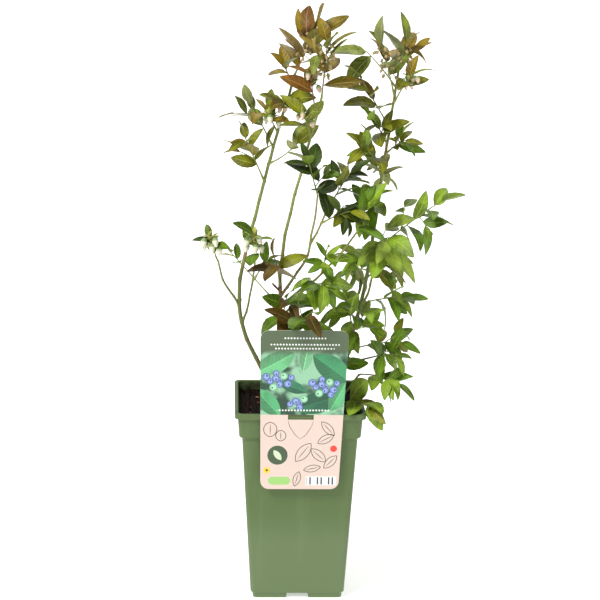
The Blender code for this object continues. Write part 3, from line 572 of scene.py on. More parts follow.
front = Finish("printed_card", (247, 228, 215), 0.38)
x, _, z = front.place.axes()
flat = front.node("ShaderNodeCombineXYZ", None, {"X": x, "Z": z})
cloud = front.noise(55.0, 2.0)
header = front.blend(cloud.rise(0.40, 0.60), (28, 66, 44), (140, 188, 152))
for centre, length, width, slant, colour in LEAF_MARKS:
    lighter, darker = shade(colour, 1.14), shade(colour, 0.6)
    on = (x - centre[0]) * math.cos(slant) + (z - centre[1]) * math.sin(slant)
    off = (z - centre[1]) * math.cos(slant) - (x - centre[0]) * math.sin(slant)
    veins = 1 - abs(((on - abs(off) * 0.8) / VEIN_PITCH).fraction() - 0.5).rise(0.0, 0.10)
    midrib = 1 - abs(off).rise(0.0002, 0.0006)
    colour = front.blend(off.rise(-0.0006, 0.0006) * 0.6, colour, darker)
    colour = front.blend(cloud.rise(0.42, 0.62) * 0.5, colour, darker)
    colour = front.blend((veins * 0.3 + midrib * 0.7).least(1.0), colour, lighter)
    inside = leaf_mark(flat, centre, length, width, slant).rise(-HAIR, HAIR)
    header = front.blend(inside, header, colour)
for middle_x, middle_z, count in BUNCHES:
    for k in range(count):
        wide, tall = (BERRY * math.sqrt(k) * share for share in BUNCH_SPREAD)
        px, pz = middle_x + wide * math.cos(BUNCH_TURN * k), middle_z + tall * math.sin(BUNCH_TURN * k)
        size = BERRY * (1 + 0.12 * math.sin(k * 2.9))
        light, dark = UNRIPE if k % 4 == 3 else RIPE
        reach = flat.distance((px, 0.0, pz))
        skin = front.blend((reach / size) ** 2.0, light, dark)
        header = front.blend(1 - reach.rise(size - HAIR, size + HAIR), header, skin)
        aside, up = (EYE_SHIFT * size * wave(EYE_TURN * k) for wave in (math.cos, math.sin))
        reach = flat.distance((px + aside, 0.0, pz + up))
        header = front.blend((1 - reach.rise(size * 0.34, size * 0.46)) * 0.8, header, light)
        header = front.blend(1 - reach.rise(size * 0.18, size * 0.32), header, shade(dark, 0.8))
header = front.blend(z.rise(BAND_FOOT - 0.004, BAND_FOOT + 0.004), header, (78, 94, 66))
for row, (height, half) in enumerate(BEAD_ROWS):
    across = ((x / BEAD_PITCH + 0.5 * row).fraction() - 0.5) * BEAD_PITCH
    off = front.node("ShaderNodeCombineXYZ", None, {"X": across, "Z": z - height}).distance((0.0, 0.0, 0.0))
    beads = (1 - off.rise(0.0008, 0.0010)) * (1 - abs(x - CARD_SHIFT[0]).rise(half, half + HAIR))
    header = front.blend(beads * 0.9, header, (240, 244, 236))
panel = front.blend(cloud.rise(0.3, 0.8) * 0.25, (214, 193, 181), (209, 185, 169))
for centre, length, width, slant in DRAWINGS:
    line = 1 - abs(leaf_mark(flat, centre, length, width, slant)).rise(0.00024, 0.00046)
    line = line.most(leaf_mark(flat, centre, length * 0.8, 0.0007, slant).rise(-HAIR, HAIR))
    panel = front.blend(line * 0.95, panel, INK)
for centre, size, colour in SPOTS:
    reach = flat.distance((centre[0], 0.0, centre[1]))
    panel = front.blend(1 - reach.rise(size - HAIR, size + HAIR), panel, colour)
for centre, half, corner, colour in PATCHES:
    panel = front.blend(patch(x, z, centre, half, corner), panel, colour)
panel = front.blend(leaf_mark(flat, BADGE, 0.013, 0.006, 2.2).rise(-HAIR, HAIR), panel, (196, 212, 178))
fine, coarse = ((x / pitch).fraction() for pitch in BAR_PITCHES)
stripes = fine.rise(0.50, 0.62) * coarse.rise(0.30, 0.34)
panel = front.blend(stripes * patch(x, z, BARS, (0.0142, 0.0039), 0.0003), panel, (64, 72, 84))
front.feed("Base Color", front.blend(z.rise(HEADER_FOOT - HAIR, HEADER_FOOT + HAIR), panel, header))
front.feed("Roughness", 0.34 + front.noise(120.0, 3.0) * 0.12)
front.bump(front.noise(1500.0, 1.0), 0.00003)
back = Finish("card_back", (247, 233, 221), 0.45)
back.feed("Base Color", back.blend(back.noise(80.0, 3.0) * 0.3, (250, 236, 224), (240, 222, 206)))
back.bump(back.noise(1500.0, 1.0), 0.00003)

tongue = np.array(TONGUE + [(-px, pz) for px, pz in TONGUE[::-1]])
inner = tongue + TONGUE_CUT * np.stack([-np.sign(tongue[:, 0]), np.ones(len(tongue))], axis=-1)
inner[[0, -1], 1] = tongue[[0, -1], 1]
slot = [(-SLOT_HALF, SLOT[0]), (SLOT_HALF, SLOT[0]), (SLOT_HALF, SLOT[1]), (-SLOT_HALF, SLOT[1])]
curve = bpy.data.curves.new("plate", "CURVE")
curve.dimensions = "2D"
curve.fill_mode = "BOTH"
curve.extrude = CARD_THICK / 2 - CARD_EDGE
curve.bevel_depth = CARD_EDGE
curve.bevel_resolution = 1
curve.offset = -CARD_EDGE
for outline in (card_outline(), slot, [*tongue, *inner[::-1]]):
    spline = curve.splines.new("POLY")
    spline.points.add(len(outline) - 1)
    for point, (px, pz) in zip(spline.points, outline):
        point.co = (px, pz - LIP_FOOT, 0.0, 1.0)
    spline.use_cyclic_u = True
holder = into_scene("plate", curve)
plate = settled(holder)
bpy.data.objects.remove(holder, do_unlink=True)
plate.transform(Matrix.Translation((0.0, -RIM_HALF - SEAT_GAP - CARD_THICK / 2, LIP_FOOT))
                @ Matrix.Rotation(math.pi / 2 + CARD_LEAN, 4, "X"))
card = add_piece("hang_card", [v.co for v in plate.vertices], [face.vertices for face in plate.polygons],
                 [front, back], ["card"], smooth=False)
card.data.polygons.foreach_set("material_index", [int(face.normal.y > -0.5) for face in plate.polygons])

strap_z = POT_HEIGHT + SEAT_GAP + CARD_THICK / 2
route = [(-RIM_HALF - CARD_THICK, strap_z), (LEG_Y, strap_z), (LEG_Y, strap_z - HOOK_DROP)]
route = eased(route, STRAP_BEND, 6)
run = unit(np.gradient(route, axis=0))
normal = np.stack([-run[:, 1], run[:, 0]], axis=-1) * CARD_THICK / 2
strap = np.stack([np.insert(route + side * normal, 0, px * SLOT_HALF * STRAP_SHARE, axis=1)
                  for px, side in ((-1, 1), (1, 1), (1, -1), (-1, -1))], axis=1)
add_piece("card_strap", strap, capped(len(route), 4), back, ["card"], smooth=False)


# Canes and boughs.  Three canes and a short low stem rise from the peat, and seven boughs
# leave them.  The bark is smooth and green, browner at the foot, swollen at each joint.

MM = 0.001
CLEAR = 0.3
FOOT_Z = PEAT_TOP / MM + CLEAR
FOOT_SUNK = 6.0
FLARE = 0.35
FLARE_REACH = 8.0
FLARE_RING = 1.5
COLLAR_REACH = 5.0
LEAF_TURN = 137.5
SEED = 214
TIP = 999
UP = Vector((0.0, 0.0, 1.0))
BARK_SIDES = 14
JOINT_PITCH = 21.0
JOINT_APART = 6.0
JOINT_SWELL = 0.32
JOINT_LENGTH = 1.5
KINK = 0.8
CANE_KINK_SHARE = 0.5
BROWN_FOOT = (0.186, 0.215)
YOUNGER_ABOVE = (0.20, 0.44)
STUBS = {"cane_middle": (312, (-8, -4, 9)), "cane_right": (292, (8, -5, 14))}
STUB_RADII = (1.2, 0.95)
STUB_RINGS = 8
STUB_SIDES = 10

Limb = namedtuple("Limb", "parent height points radii")
LIMBS = {
    "cane_left": Limb(None, None, [(-19, 6, FOOT_Z), (-61, 10, 291), (-38, 16, 415), (-8, 22, 525)],
                      (2.3, 1.3)),
    "cane_middle": Limb(None, None, [(-14, -8, FOOT_Z), (-20, -10, 290), (-16, -12, 370),
                                     (17, -23, 508)], (2.2, 1.2)),
    "cane_right": Limb(None, None, [(27, 3, FOOT_Z), (63, 10, 300), (82, 17, 434), (95, 23, 528)],
                       (2.3, 1.2)),
    "stem_low_right": Limb(None, None, [(34, -8, FOOT_Z), (48, -9, 208), (61, -10, 227)], (1.4, 0.9)),
    "stem_left_low": Limb("cane_left", 292, [(-76, 4, 318), (-85, -3, 346)], (1.3, 0.9)),
    "stem_left_front": Limb("cane_left", 276, [(-50, -3, 306), (-46, -14, 342)], (1.2, 0.9)),
    "fork_middle": Limb("cane_middle", 307, [(5, -26, 352), (14, -38, 414)], (1.5, 0.9)),
    "bough_dark": Limb("fork_middle", 364, [(20, -32, 389), (32, -30, 413)], (1.1, 0.8)),
    "bough_cross": Limb("cane_middle", 298, [(22, -45, 341), (54, -47, 382)], (1.3, 0.9)),
    "stem_right_twin": Limb("cane_right", 290, [(70, -3, 314), (73, -8, 337)], (1.3, 1.0)),
    "bough_right_low": Limb("cane_right", 230, [(57, -10, 240), (78, -21, 249)], (1.1, 0.8)),
}

Shoot = namedtuple("Shoot", "name limb height tip leaves size lift bare rise twigs bells tints")
SHOOTS = [Shoot(*row) for row in [
    ("top_left", "cane_left", TIP, (13, 24, 570), 9, 42, 0.3, 0.15, 0, 2, 0, "bronze bronze_red"),
    ("shoulder_left", "cane_left", 516, (-19, 12, 535), 4, 34, 0.05, 0.5, 2, 0, 0, "bronze olive"),
    ("spur_left_top", "cane_left", 492, (-16, 10, 497), 4, 33, 0, 0.4, 0, 0, 5, "olive bronze"),
    ("spur_left_mid", "cane_left", 468, (-34, 6, 488), 5, 29, -0.15, 0.3, 0, 0, 4, "olive bronze"),
    ("twig_left_upper", "cane_left", 453, (-51, 6, 498), 8, 32, -0.05, 0.45, 0, 2, 0, "grey_green bronze"),
    ("twig_left_lower", "cane_left", 419, (-58, 2, 468), 8, 30, -0.05, 0.3, 0, 2, 0, "olive bronze"),
    ("twig_left_inner", "cane_left", 436, (-5, -2, 460), 5, 36, 0.1, 0.5, -4, 0, 0, "olive grey_green"),
    ("bells_far_left", "stem_left_low", TIP, (-91, -10, 366), 4, 24, 0.05, 0.1, 3, 0, 7,
     "mid_green dark_green"),
    ("bells_front", "stem_left_front", TIP, (-48, -24, 373), 5, 33, -0.3, 0.1, 0, 0, 7,
     "mid_green bright_green"),
    ("shoot_left_back", "cane_middle", 296, (-73, 44, 344), 5, 19, 0, 0.75, 0, 0, 0, "mid_green olive"),
    ("top_middle", "cane_middle", TIP, (21, -34, 562), 9, 38, 0.12, 0.1, 0, 2, 0, "bronze grey_green"),
    ("dark_upper_left", "cane_middle", 488, (5, -22, 534), 6, 34, 0.1, 0.3, 0, 0, 3, "bronze_red bronze"),
    ("upper_front", "cane_middle", 470, (-2, -42, 496), 5, 34, 0.05, 0.3, 0, 0, 3, "olive grey_green"),
    ("fork_top", "fork_middle", TIP, (4, -46, 450), 8, 32, 0.05, 0.05, 0, 2, 0, "dark_green mid_green"),
    ("dark_right", "bough_dark", TIP, (46, -24, 434), 9, 32, 0, 0, 2, 2, 0, "dark_green olive"),
    ("dark_low", "bough_dark", 386, (45, -50, 401), 6, 32, -0.25, 0.2, 2, 2, 0, "dark_green olive"),
    ("bronze_low", "cane_middle", 316, (-25, -26, 345), 5, 38, -0.4, 0.5, 0, 0, 0, "dark_bronze olive"),
    ("cross_mid", "bough_cross", 338, (22, -64, 363), 7, 24, -0.1, 0.3, 0, 2, 0, "mid_green bright_green"),
    ("cross_top", "bough_cross", TIP, (59, -40, 407), 9, 37, -0.05, 0.1, 0, 2, 0, "mid_green bright_green"),
    ("cross_low", "bough_cross", 322, (21, -62, 331), 7, 34, -0.3, 0.2, 3, 2, 0, "bright_green mid_green"),
    ("middle_low", "cane_middle", 272, (-15, -38, 312), 8, 32, -0.25, 0.2, 3, 2, 0, "mid_green dark_bronze"),
    ("front_low_right", "cane_right", 222, (44, -44, 256), 6, 31, -0.3, 0.35, 3, 0, 0,
     "mid_green bright_green"),
    ("left_small", "stem_left_front", 322, (-33, -18, 346), 4, 27, -0.15, 0.35, 2, 0, 0, "mid_green olive"),
    ("front_over_card", "cane_middle", 256, (9, -70, 305), 8, 38, -0.3, 0.3, 8, 2, 0,
     "mid_green dark_bronze"),
    ("top_right", "cane_right", TIP, (102, 24, 557), 7, 38, 0.25, 0.15, 0, 2, 0, "bronze grey_green"),
    ("top_right_left", "cane_right", 505, (77, 4, 558), 6, 42, 0.35, 0.35, 0, 0, 0, "grey_green bronze_red"),
    ("top_right_out", "cane_right", 514, (62, 6, 550), 3, 46, -0.6, 0.7, 3, 0, 0, "grey_green olive"),
    ("bells_right_top", "cane_right", 498, (106, 4, 527), 5, 33, 0.05, 0.4, 3, 0, 6, "olive bronze"),
    ("right_upper_left", "cane_right", 474, (56, -10, 525), 8, 33, 0, 0.35, 0, 0, 0, "olive dark_bronze"),
    ("right_upper_mid", "cane_right", 458, (70, -6, 485), 7, 32, -0.05, 0.3, 0, 2, 0, "olive bright_green"),
    ("right_mid_left", "cane_right", 436, (58, -14, 459), 9, 30, 0, 0.35, 0, 2, 0, "olive bright_green"),
    ("right_mid_right", "cane_right", 448, (102, 8, 463), 7, 26, -0.05, 0.3, 2, 2, 0, "olive mid_green"),
    ("right_side", "cane_right", 418, (84, 46, 432), 7, 29, -0.1, 0.3, 0, 2, 0, "olive grey_green"),
    ("right_centre", "cane_right", 386, (62, -22, 412), 7, 34, -0.1, 0.3, 0, 2, 0, "mid_green bright_green"),
    ("right_big", "cane_right", 352, (85, -22, 370), 7, 47, -0.5, 0.45, 3, 2, 0, "yellow_green bright_green"),
    ("far_right", "cane_right", 346, (136, -28, 408), 8, 39, -0.35, 0.3, 4, 2, 0, "mid_green bright_green"),
    ("right_arm", "cane_right", 296, (105, -14, 308), 9, 28, -0.35, 0.3, 3, 2, 0, "mid_green bright_green"),
    ("right_back", "cane_right", 322, (96, 44, 332), 7, 33, -0.2, 0.35, 3, 2, 0, "olive mid_green"),
    ("twin_top", "stem_right_twin", TIP, (55, -10, 353), 7, 36, -0.2, 0.2, 0, 2, 0,
     "bright_green yellow_green"),
    ("right_low_left", "cane_right", 268, (45, -26, 311), 9, 31, -0.25, 0.2, 3, 2, 0,
     "bright_green mid_green"),
    ("right_low_mid", "cane_right", 254, (64, -34, 297), 8, 32, -0.35, 0.2, 4, 2, 0,
     "bright_green mid_green"),
    ("right_low_arm", "cane_right", 246, (103, -8, 260), 7, 29, -0.25, 0.35, 6, 2, 0, "mid_green olive"),
    ("low_far_right", "bough_right_low", TIP, (97, -34, 254), 7, 29, -0.3, 0, 1, 2, 0,
     "mid_green bright_green"),
    ("low_right_out", "stem_low_right", TIP, (98, -40, 226), 9, 32, -0.45, 0.2, 5, 2, 0,
     "bright_green mid_green"),
    ("low_over_rim", "stem_low_right", 194, (69, -56, 207), 9, 37, -0.5, 0.3, 8, 2, 0, "bright_green olive"),
    ("back_right", "cane_right", 330, (54, 62, 319), 8, 33, -0.15, 0.35, 3, 2, 0, "mid_green olive"),
]]


def smooth_path(points, steps):
    """Catmull-Rom curve through the points, with a number of steps in each span."""
    knots = [Vector(point) for point in points]
    knots = [2 * knots[0] - knots[1]] + knots + [2 * knots[-1] - knots[-2]]
    path = []
    for a, b, c, d in zip(knots, knots[1:], knots[2:], knots[3:]):
        for step in range(steps):
            t = step / steps
            path.append(0.5 * (2 * b + (c - a) * t + (2 * a - 5 * b + 4 * c - d) * t * t
                               + (3 * b - a - 3 * c + d) * t ** 3))
    path.append(knots[-2].copy())
    return path


def at_height(path, height):
    """Point and direction of a rising path at a height, or at its end if that is lower."""
    for low, high in zip(path, path[1:]):
        if low.z <= height <= high.z:
            return low.lerp(high, (height - low.z) / (high.z - low.z)), (high - low).normalized()
    return path[-1].copy(), (path[-1] - path[-2]).normalized()


def clear_start(limb, height, toward, radius):
    """Where a stem starts so that its flat end stays clear of the limb that carries it."""
    path, radii = limb_paths[limb], LIMBS[limb].radii
    root, along = at_height(path, height)
    way = (toward - root).normalized()
    slant = max(along.angle(way), 0.01)
    if root == path[-1]:
        return root + way * (CLEAR + radius * math.sin(slant))
    thick = radii[0] + (radii[1] - radii[0]) * (root.z - path[0].z) / (path[-1].z - path[0].z)
    return root + way * ((thick + CLEAR + radius * math.cos(slant)) / math.sin(slant))


def lengths(path):
    """Distance along a path at each of its points."""
    return np.concatenate([[0.0], np.cumsum(np.linalg.norm(np.diff(path, axis=0), axis=1))])


def map_of(across, along):
    """Map coordinates of a grid of points."""
    return np.stack(np.meshgrid(across, along), axis=-1)


def tube_of(path, radii, sides):
    """Points, faces and map of a circle carried along a path: path + radius (side cos turn +
    front sin turn), with side and front square to the path; the map has turns and centimetres."""
    way = unit(np.gradient(path, axis=0))
    side = unit(np.cross(way, (0.0, 1.0, 0.0) if abs(way[:, 1]).max() < 0.9 else (1.0, 0.0, 0.0)))
    front = np.cross(way, side)
    turn = turns(sides)[:, None]
    radii = np.broadcast_to(np.asarray(radii).reshape(len(path), -1), (len(path), sides))[..., None]
    points = path[:, None] + radii * (side[:, None] * np.cos(turn) + front[:, None] * np.sin(turn))
    return points * MM, capped(len(path), sides), map_of(np.arange(sides) / sides, lengths(path) * 0.1)


def add_joined(name, parts, finish, replaced):
    """Add parts, each with its points, faces and map, as one piece."""
    faces, first = [], 0
    for points, part_faces, _ in parts:
        faces += [[index + first for index in face] for face in part_faces]
        first += points.size // 3
    points = np.concatenate([points.reshape(-1, 3) for points, _, _ in parts])
    maps = np.concatenate([part_map.reshape(-1, 2) for _, _, part_map in parts])
    add_piece(name, points, faces, finish, replaced, maps)


bark = Finish("cane_bark", (115, 134, 70), 0.5)
_, _, z = bark.place.axes()
streak = bark.noise(420.0, 4.0, (1.0, 1.0, 0.08))
blush = bark.noise(38.0, 3.0, (1.0, 1.0, 0.5))
joint = bark.node("ShaderNodeAttribute", {"attribute_name": "joint"}, None, "Fac")
colour = bark.blend(z.rise(*YOUNGER_ABOVE), (92, 98, 50), (134, 144, 70))
for mask, over in ((streak.rise(0.42, 0.7) * 0.5, (84, 102, 42)),
                   (blush.rise(0.5, 0.68) * 0.5, (142, 96, 60)),
                   ((1 - z.rise(*BROWN_FOOT)) * 0.6, (112, 88, 62)),
                   (joint.rise(0.25, 0.9) * 0.75, (122, 74, 50))):
    colour = bark.blend(mask, colour, over)
bark.feed("Base Color", colour)
bark.feed("Roughness", 0.42 + streak * 0.2)
bark.bump(streak * 0.6 + bark.noise(1500.0, 3.0) * 0.4, 0.00018)

limb_paths = {}
for name, limb in LIMBS.items():
    points = [Vector(point) for point in limb.points]
    if limb.parent:
        points.insert(0, clear_start(limb.parent, limb.height, points[0], limb.radii[0]))
    limb_paths[name] = smooth_path(points, 4)
    fine = np.array(smooth_path(points, 60))
    if limb.parent:
        fine = np.concatenate([[at_height(limb_paths[limb.parent], limb.height)[0]], fine])
        run = lengths(fine)
        flare = np.exp(-(run / COLLAR_REACH) ** 2)
    else:
        limb_paths[name].insert(1, limb_paths[name][0] + UP * FLARE_RING)
        run = lengths(fine)
        flare = np.exp((fine[0, 2] - fine[:, 2]) / FLARE_REACH)
    radii = (limb.radii[0] + (limb.radii[1] - limb.radii[0]) * (run / run[-1])) * (1 + FLARE * flare)
    springs = [shoot.height for shoot in SHOOTS if shoot.limb == name and shoot.height != TIP]
    springs += [other.height for other in LIMBS.values() if other.parent == name]
    spots = [float(np.interp(height, fine[:, 2], run)) for height in springs]
    nodes = [spot for spot in np.arange(JOINT_PITCH * 0.6, run[-1] - JOINT_APART, JOINT_PITCH)
             if all(abs(spot - other) > JOINT_APART for other in spots)]
    kinks = sorted([(0.0, 0.0), (run[-1], 0.0)] + [(spot, 0.0) for spot in spots if spot < run[-1]]
                   + [(spot, KINK * (-1) ** k) for k, spot in enumerate(nodes)])
    fine[:, 0] += np.interp(run, *zip(*kinks)) * (1.0 if limb.parent else CANE_KINK_SHARE)
    turn = turns(BARK_SIDES)
    swell = np.zeros((len(fine), BARK_SIDES))
    for k, spot in enumerate(spots + nodes):
        near = np.exp(-((run[:, None] - spot) / JOINT_LENGTH) ** 2)
        swell += near * (0.35 + 0.65 * np.maximum(0, np.cos(turn - math.radians(LEAF_TURN * k))) ** 2)
    ridges = 0.03 * np.sin(turn * 5 + run[:, None] * 0.05) + 0.02 * np.sin(turn * 3 - run[:, None] * 0.31)
    tube, faces, along = tube_of(fine, radii[:, None] * (1 + JOINT_SWELL * swell + ridges), BARK_SIDES)
    if not limb.parent:
        tube[0, :, 2] -= FOOT_SUNK * MM
    piece = add_piece(f"bark_{name}", tube, faces, bark, [name], along)
    mark = piece.data.attributes.new("joint", "FLOAT", "POINT")
    mark.data.foreach_set("value", np.clip(swell, 0, 1).astype(np.float32).ravel())

old_wood = Finish("pruned_wood", (124, 84, 56), 0.6)
rings = old_wood.noise(500.0, 4.0, (1.0, 1.0, 0.3))
old_wood.feed("Base Color", old_wood.blend(rings, (134, 92, 60), (98, 54, 42)))
old_wood.bump(old_wood.noise(900.0, 3.0), 0.0002)
stubs = []
for name, (height, reach) in STUBS.items():
    root, _ = at_height(limb_paths[name], height)
    path = np.array(root) + np.array(reach) * np.linspace(0, 1, STUB_RINGS)[:, None] ** 1.1
    bulge = 1 + 0.25 * (np.arange(STUB_RINGS) == 5)
    stubs.append(tube_of(path, np.linspace(*STUB_RADII, STUB_RINGS) * bulge, STUB_SIDES))
add_joined("pruned_stubs", stubs, old_wood, list(STUBS))


# Twigs.  Each leafy shoot has one slender stem from its limb, and the longer ones have two
# side twigs.  They are this year's wood, green to red-brown, and thin towards the tip.

STEM_RADIUS = (1.3, 0.8)
TWIG_RADIUS = (0.65, 0.5)
STEM_STEPS = 4
TWIG_STEPS = 2
BELL_LENGTH = 8.5
BELL_RADIUS = 2.9
BELL_STATIONS = ((0.0, 0.45), (0.45, 1.0), (1.0, 0.55))
PEDICEL = 6.5
PEDICEL_RADIUS = 0.6
LEAF_THICKNESS_SHARE = 0.03
LEAF_SUNK = 0.2
LEAF_WIDEST = 0.45
LEAF_SPREAD = 0.56

LEAF_TURN_SPREAD = 20
LEAF_SLANT = (72, 34)
TIP_LEAF_SLANT = 14
SLANT_SPREAD = 9
LIFT_SPREAD = 0.16
FACE_UP = 0.75
FACE_FORWARD = 0.4
FACE_SPREAD = 0.4
LENGTH_RANGE = (0.78, 1.18)
WIDTH_RANGE = (0.38, 0.50)
DROOP_RANGE = (0.05, 0.32)
END_LEAF_SHARE = 0.72
SWELL_START = 0.25
TWIG_TURN_STEP = 1.5
TWIG_TURN_SPREAD = 25
TWIG_SLANT = 48
TWIG_REACH = (0.3, 0.5)
TWIG_LENGTH = (9, 22)
TWIG_BARE = 0.45
TWIG_LEAVES = 3
TWIG_LEAF_SHARE = 0.78
LAST_TWIG = 0.8
TWIG_LIFT_SHARE = 0.5
TWIG_RISE = 0.06
TWIG_ROW_TURN = 90
BELLS_START = 0.5
BELL_TURN_SPREAD = 15
BELL_LIFT = (-0.3, 0.5)
BELL_LEAN = 0.25

TWIG_SIDES = 7
TWIG_RINGS = 14
STEM_SHARE = 0.62
SIDE_TWIG_SHARE = 0.85
SUNK = 3.0
FOOT_FLARE = 1.3
FOOT_FLARE_SHARE = 0.12
RED_TINTS = ("bronze_red", "bronze")
TWIG_COLOURS = {"green": ((138, 150, 68), (112, 122, 58)), "red": ((136, 96, 58), (150, 70, 48))}

Leaf = namedtuple("Leaf", "root way face length width droop")


def bow(a, b, c, t):
    """Point of a stem that bows from a towards b on its way to c."""
    return a * (1 - t) ** 2 + b * (2 * t * (1 - t)) + c * (t * t)


def bow_way(a, b, c, t):
    """Direction of that stem."""
    return ((b - a) * (1 - t) + (c - b) * t).normalized()


def branch_way(along, turn, slant):
    """A direction that leaves a stem by an angle, turned round it."""
    side = along.cross(UP)
    side = side.normalized() if side.length_squared > 0.01 else Vector((1.0, 0.0, 0.0))
    front = side.cross(along)
    return along * math.cos(slant) + (side * math.cos(turn) + front * math.sin(turn)) * math.sin(slant)


def leaf_row(rng, stem, count, size, lift, bare, turn):
    """Leaves set in a spiral along a stem, the last one at its tip."""
    leaves = []
    for index in range(count):
        t = bare + (1 - bare) * index / max(count - 1, 1)
        along = bow_way(*stem, t)
        azimuth = math.radians(turn + LEAF_TURN * index + rng.gauss(0, LEAF_TURN_SPREAD))
        slant = LEAF_SLANT[0] + (LEAF_SLANT[1] - LEAF_SLANT[0]) * t
        if index == count - 1:
            slant = TIP_LEAF_SLANT
        slant = math.radians(slant + rng.gauss(0, SLANT_SPREAD))
        way = (branch_way(along, azimuth, slant) + UP * (lift + rng.gauss(0, LIFT_SPREAD))).normalized()
        face = UP * FACE_UP + along * (1 - FACE_UP)
        face += Vector((rng.gauss(0, FACE_SPREAD), rng.gauss(-FACE_FORWARD, FACE_SPREAD), 0))
        face = (face - way * face.dot(way)).normalized()
        swell = math.sin(math.pi * min(1, SWELL_START + (1 - SWELL_START) * t))
        length = size * (END_LEAF_SHARE + (1 - END_LEAF_SHARE) * swell) * rng.uniform(*LENGTH_RANGE)
        width = length * rng.uniform(*WIDTH_RANGE)
        leaves.append(Leaf(bow(*stem, t), way, face, length, width, rng.uniform(*DROOP_RANGE)))
    return leaves


def grow(shoot, start):
    """Stems (three points each) and leaves of one shoot, and the draws that follow them."""
    rng = random.Random(f"{shoot.name} {SEED}")
    turn = rng.uniform(0, 360)
    tip = Vector(shoot.tip)
    main = (start, (start + tip) / 2 + UP * shoot.rise, tip)
    reach = (tip - start).length
    stems = [main]
    rows = [leaf_row(rng, main, shoot.leaves, shoot.size, shoot.lift, shoot.bare, turn)]
    for index in range(shoot.twigs):
        t = shoot.bare + (LAST_TWIG - shoot.bare) * (index + 0.5) / shoot.twigs
        azimuth = turn + LEAF_TURN * (0.5 + TWIG_TURN_STEP * index) + rng.gauss(0, TWIG_TURN_SPREAD)
        slant = TWIG_SLANT + rng.gauss(0, SLANT_SPREAD)
        way = branch_way(bow_way(*main, t), math.radians(azimuth), math.radians(slant))
        length = max(TWIG_LENGTH[0], min(TWIG_LENGTH[1], reach * rng.uniform(*TWIG_REACH)))
        root = bow(*main, t)
        end = root + (way + UP * TWIG_LIFT_SHARE * shoot.lift).normalized() * length
        stems.append((root, (root + end) / 2 + UP * TWIG_RISE * length, end))
        rows.append(leaf_row(rng, stems[-1], TWIG_LEAVES, shoot.size * TWIG_LEAF_SHARE, shoot.lift,
                             TWIG_BARE, turn + TWIG_ROW_TURN * index))
    return stems, rows, rng


def bells_of(shoot, main, rng):
    """Flowers in a loose cluster round the outer half of a stem."""
    flowers = []
    for index in range(shoot.bells):
        root = bow(*main, BELLS_START + (1 - BELLS_START) * (index + 1) / shoot.bells)
        azimuth = math.radians(LEAF_TURN * index + rng.gauss(0, BELL_TURN_SPREAD))
        way = Vector((math.cos(azimuth), math.sin(azimuth), rng.uniform(*BELL_LIFT))).normalized()
        flowers.append((root, way, Vector((way.x * BELL_LEAN, way.y * BELL_LEAN, -1.0)).normalized()))
    return flowers


def tree_of(points, faces):
    """Search tree and box of a few faces, in metres."""
    points = [point * MM for point in points]
    low, high = ([pick(p[axis] for p in points) for axis in range(3)] for pick in (min, max))
    return low, high, BVHTree.FromPolygons(points, faces)


def is_clear(owner, test):
    """Whether a swollen shape stays off every other part."""
    low, high, own = test
    return not any(name != owner and all(low[k] <= last[k] and first[k] <= high[k] for k in range(3))
                   and own.overlap(tree) for name, first, last, tree in placed)


def prism(rings, start=None, end=None):
    """Points and faces through rings of equal count, closed at each end by a point or a face."""
    count = len(rings[0])
    points = [point for row in rings for point in row]
    faces = grid_faces(len(rings), count, closed=True).tolist()
    for first, peak in ((0, start), (len(points) - count, end)):
        row = list(range(first, first + count))
        if peak is None:
            faces.append(row)
            continue
        points.append(peak)
        faces += [(row[k], len(points) - 1, row[(k + 1) % count]) for k in range(count)]
    return points, faces


def ring(middle, way, radius, corners):
    """Corners evenly round a point, square to a direction."""
    side = way.cross(Vector((0.0, 1.0, 0.0)))
    if side.length < 0.2:
        side = way.cross(Vector((1.0, 0.0, 0.0)))
    side = side.normalized() * radius
    front = side.cross(way)
    turns = [2 * math.pi * corner / corners for corner in range(corners)]
    return [middle + side * math.cos(turn) + front * math.sin(turn) for turn in turns]


def stem_form(stem, radii, steps, swell=0.0):
    """A bowed stem as a three-sided taper."""
    rows = []
    for step in range(steps + 1):
        t = step / steps
        rows.append(ring(bow(*stem, t), bow_way(*stem, t), radii[0] + (radii[1] - radii[0]) * t + swell, 3))
    return tree_of(*prism(rows))


def leaf_form(leaf, swell=0.0):
    """A thin keeled kite that bends back along its length; swell thickens it all round."""
    reach = leaf.way.cross(leaf.face) * (leaf.width * LEAF_SPREAD + swell)
    sag = leaf.droop * leaf.length
    middle = leaf.root + leaf.way * (leaf.length * LEAF_WIDEST) - leaf.face * (sag * LEAF_WIDEST ** 2)
    top = middle + leaf.face * swell
    keel = middle - leaf.face * (leaf.length * LEAF_THICKNESS_SHARE + swell)
    tip = leaf.root + leaf.way * (leaf.length + swell) - leaf.face * sag
    return tree_of(*prism([[top + reach, top - reach, keel]], leaf.root - leaf.way * LEAF_SUNK, tip))


def bell_forms(root, way, hang):
    """A flower's stalk and its hanging urn, as plain prisms."""
    neck = root + way * PEDICEL
    stalk = [ring(middle, way, PEDICEL_RADIUS, 3) for middle in (root, neck + hang)]
    urn = [ring(neck + hang * (BELL_LENGTH * t), hang, BELL_RADIUS * share, 5) for t, share in BELL_STATIONS]
    return [tree_of(*prism(stalk, end=neck + hang * 3)), tree_of(*prism(urn))]


placed = []
for name in ["pot", "soil", "card", *LIMBS]:
    solid = frame["nodes"][name].data
    spots = [vert.co / MM for vert in solid.vertices]
    placed.append((name, *tree_of(spots, [tuple(face.vertices) for face in solid.polygons])))

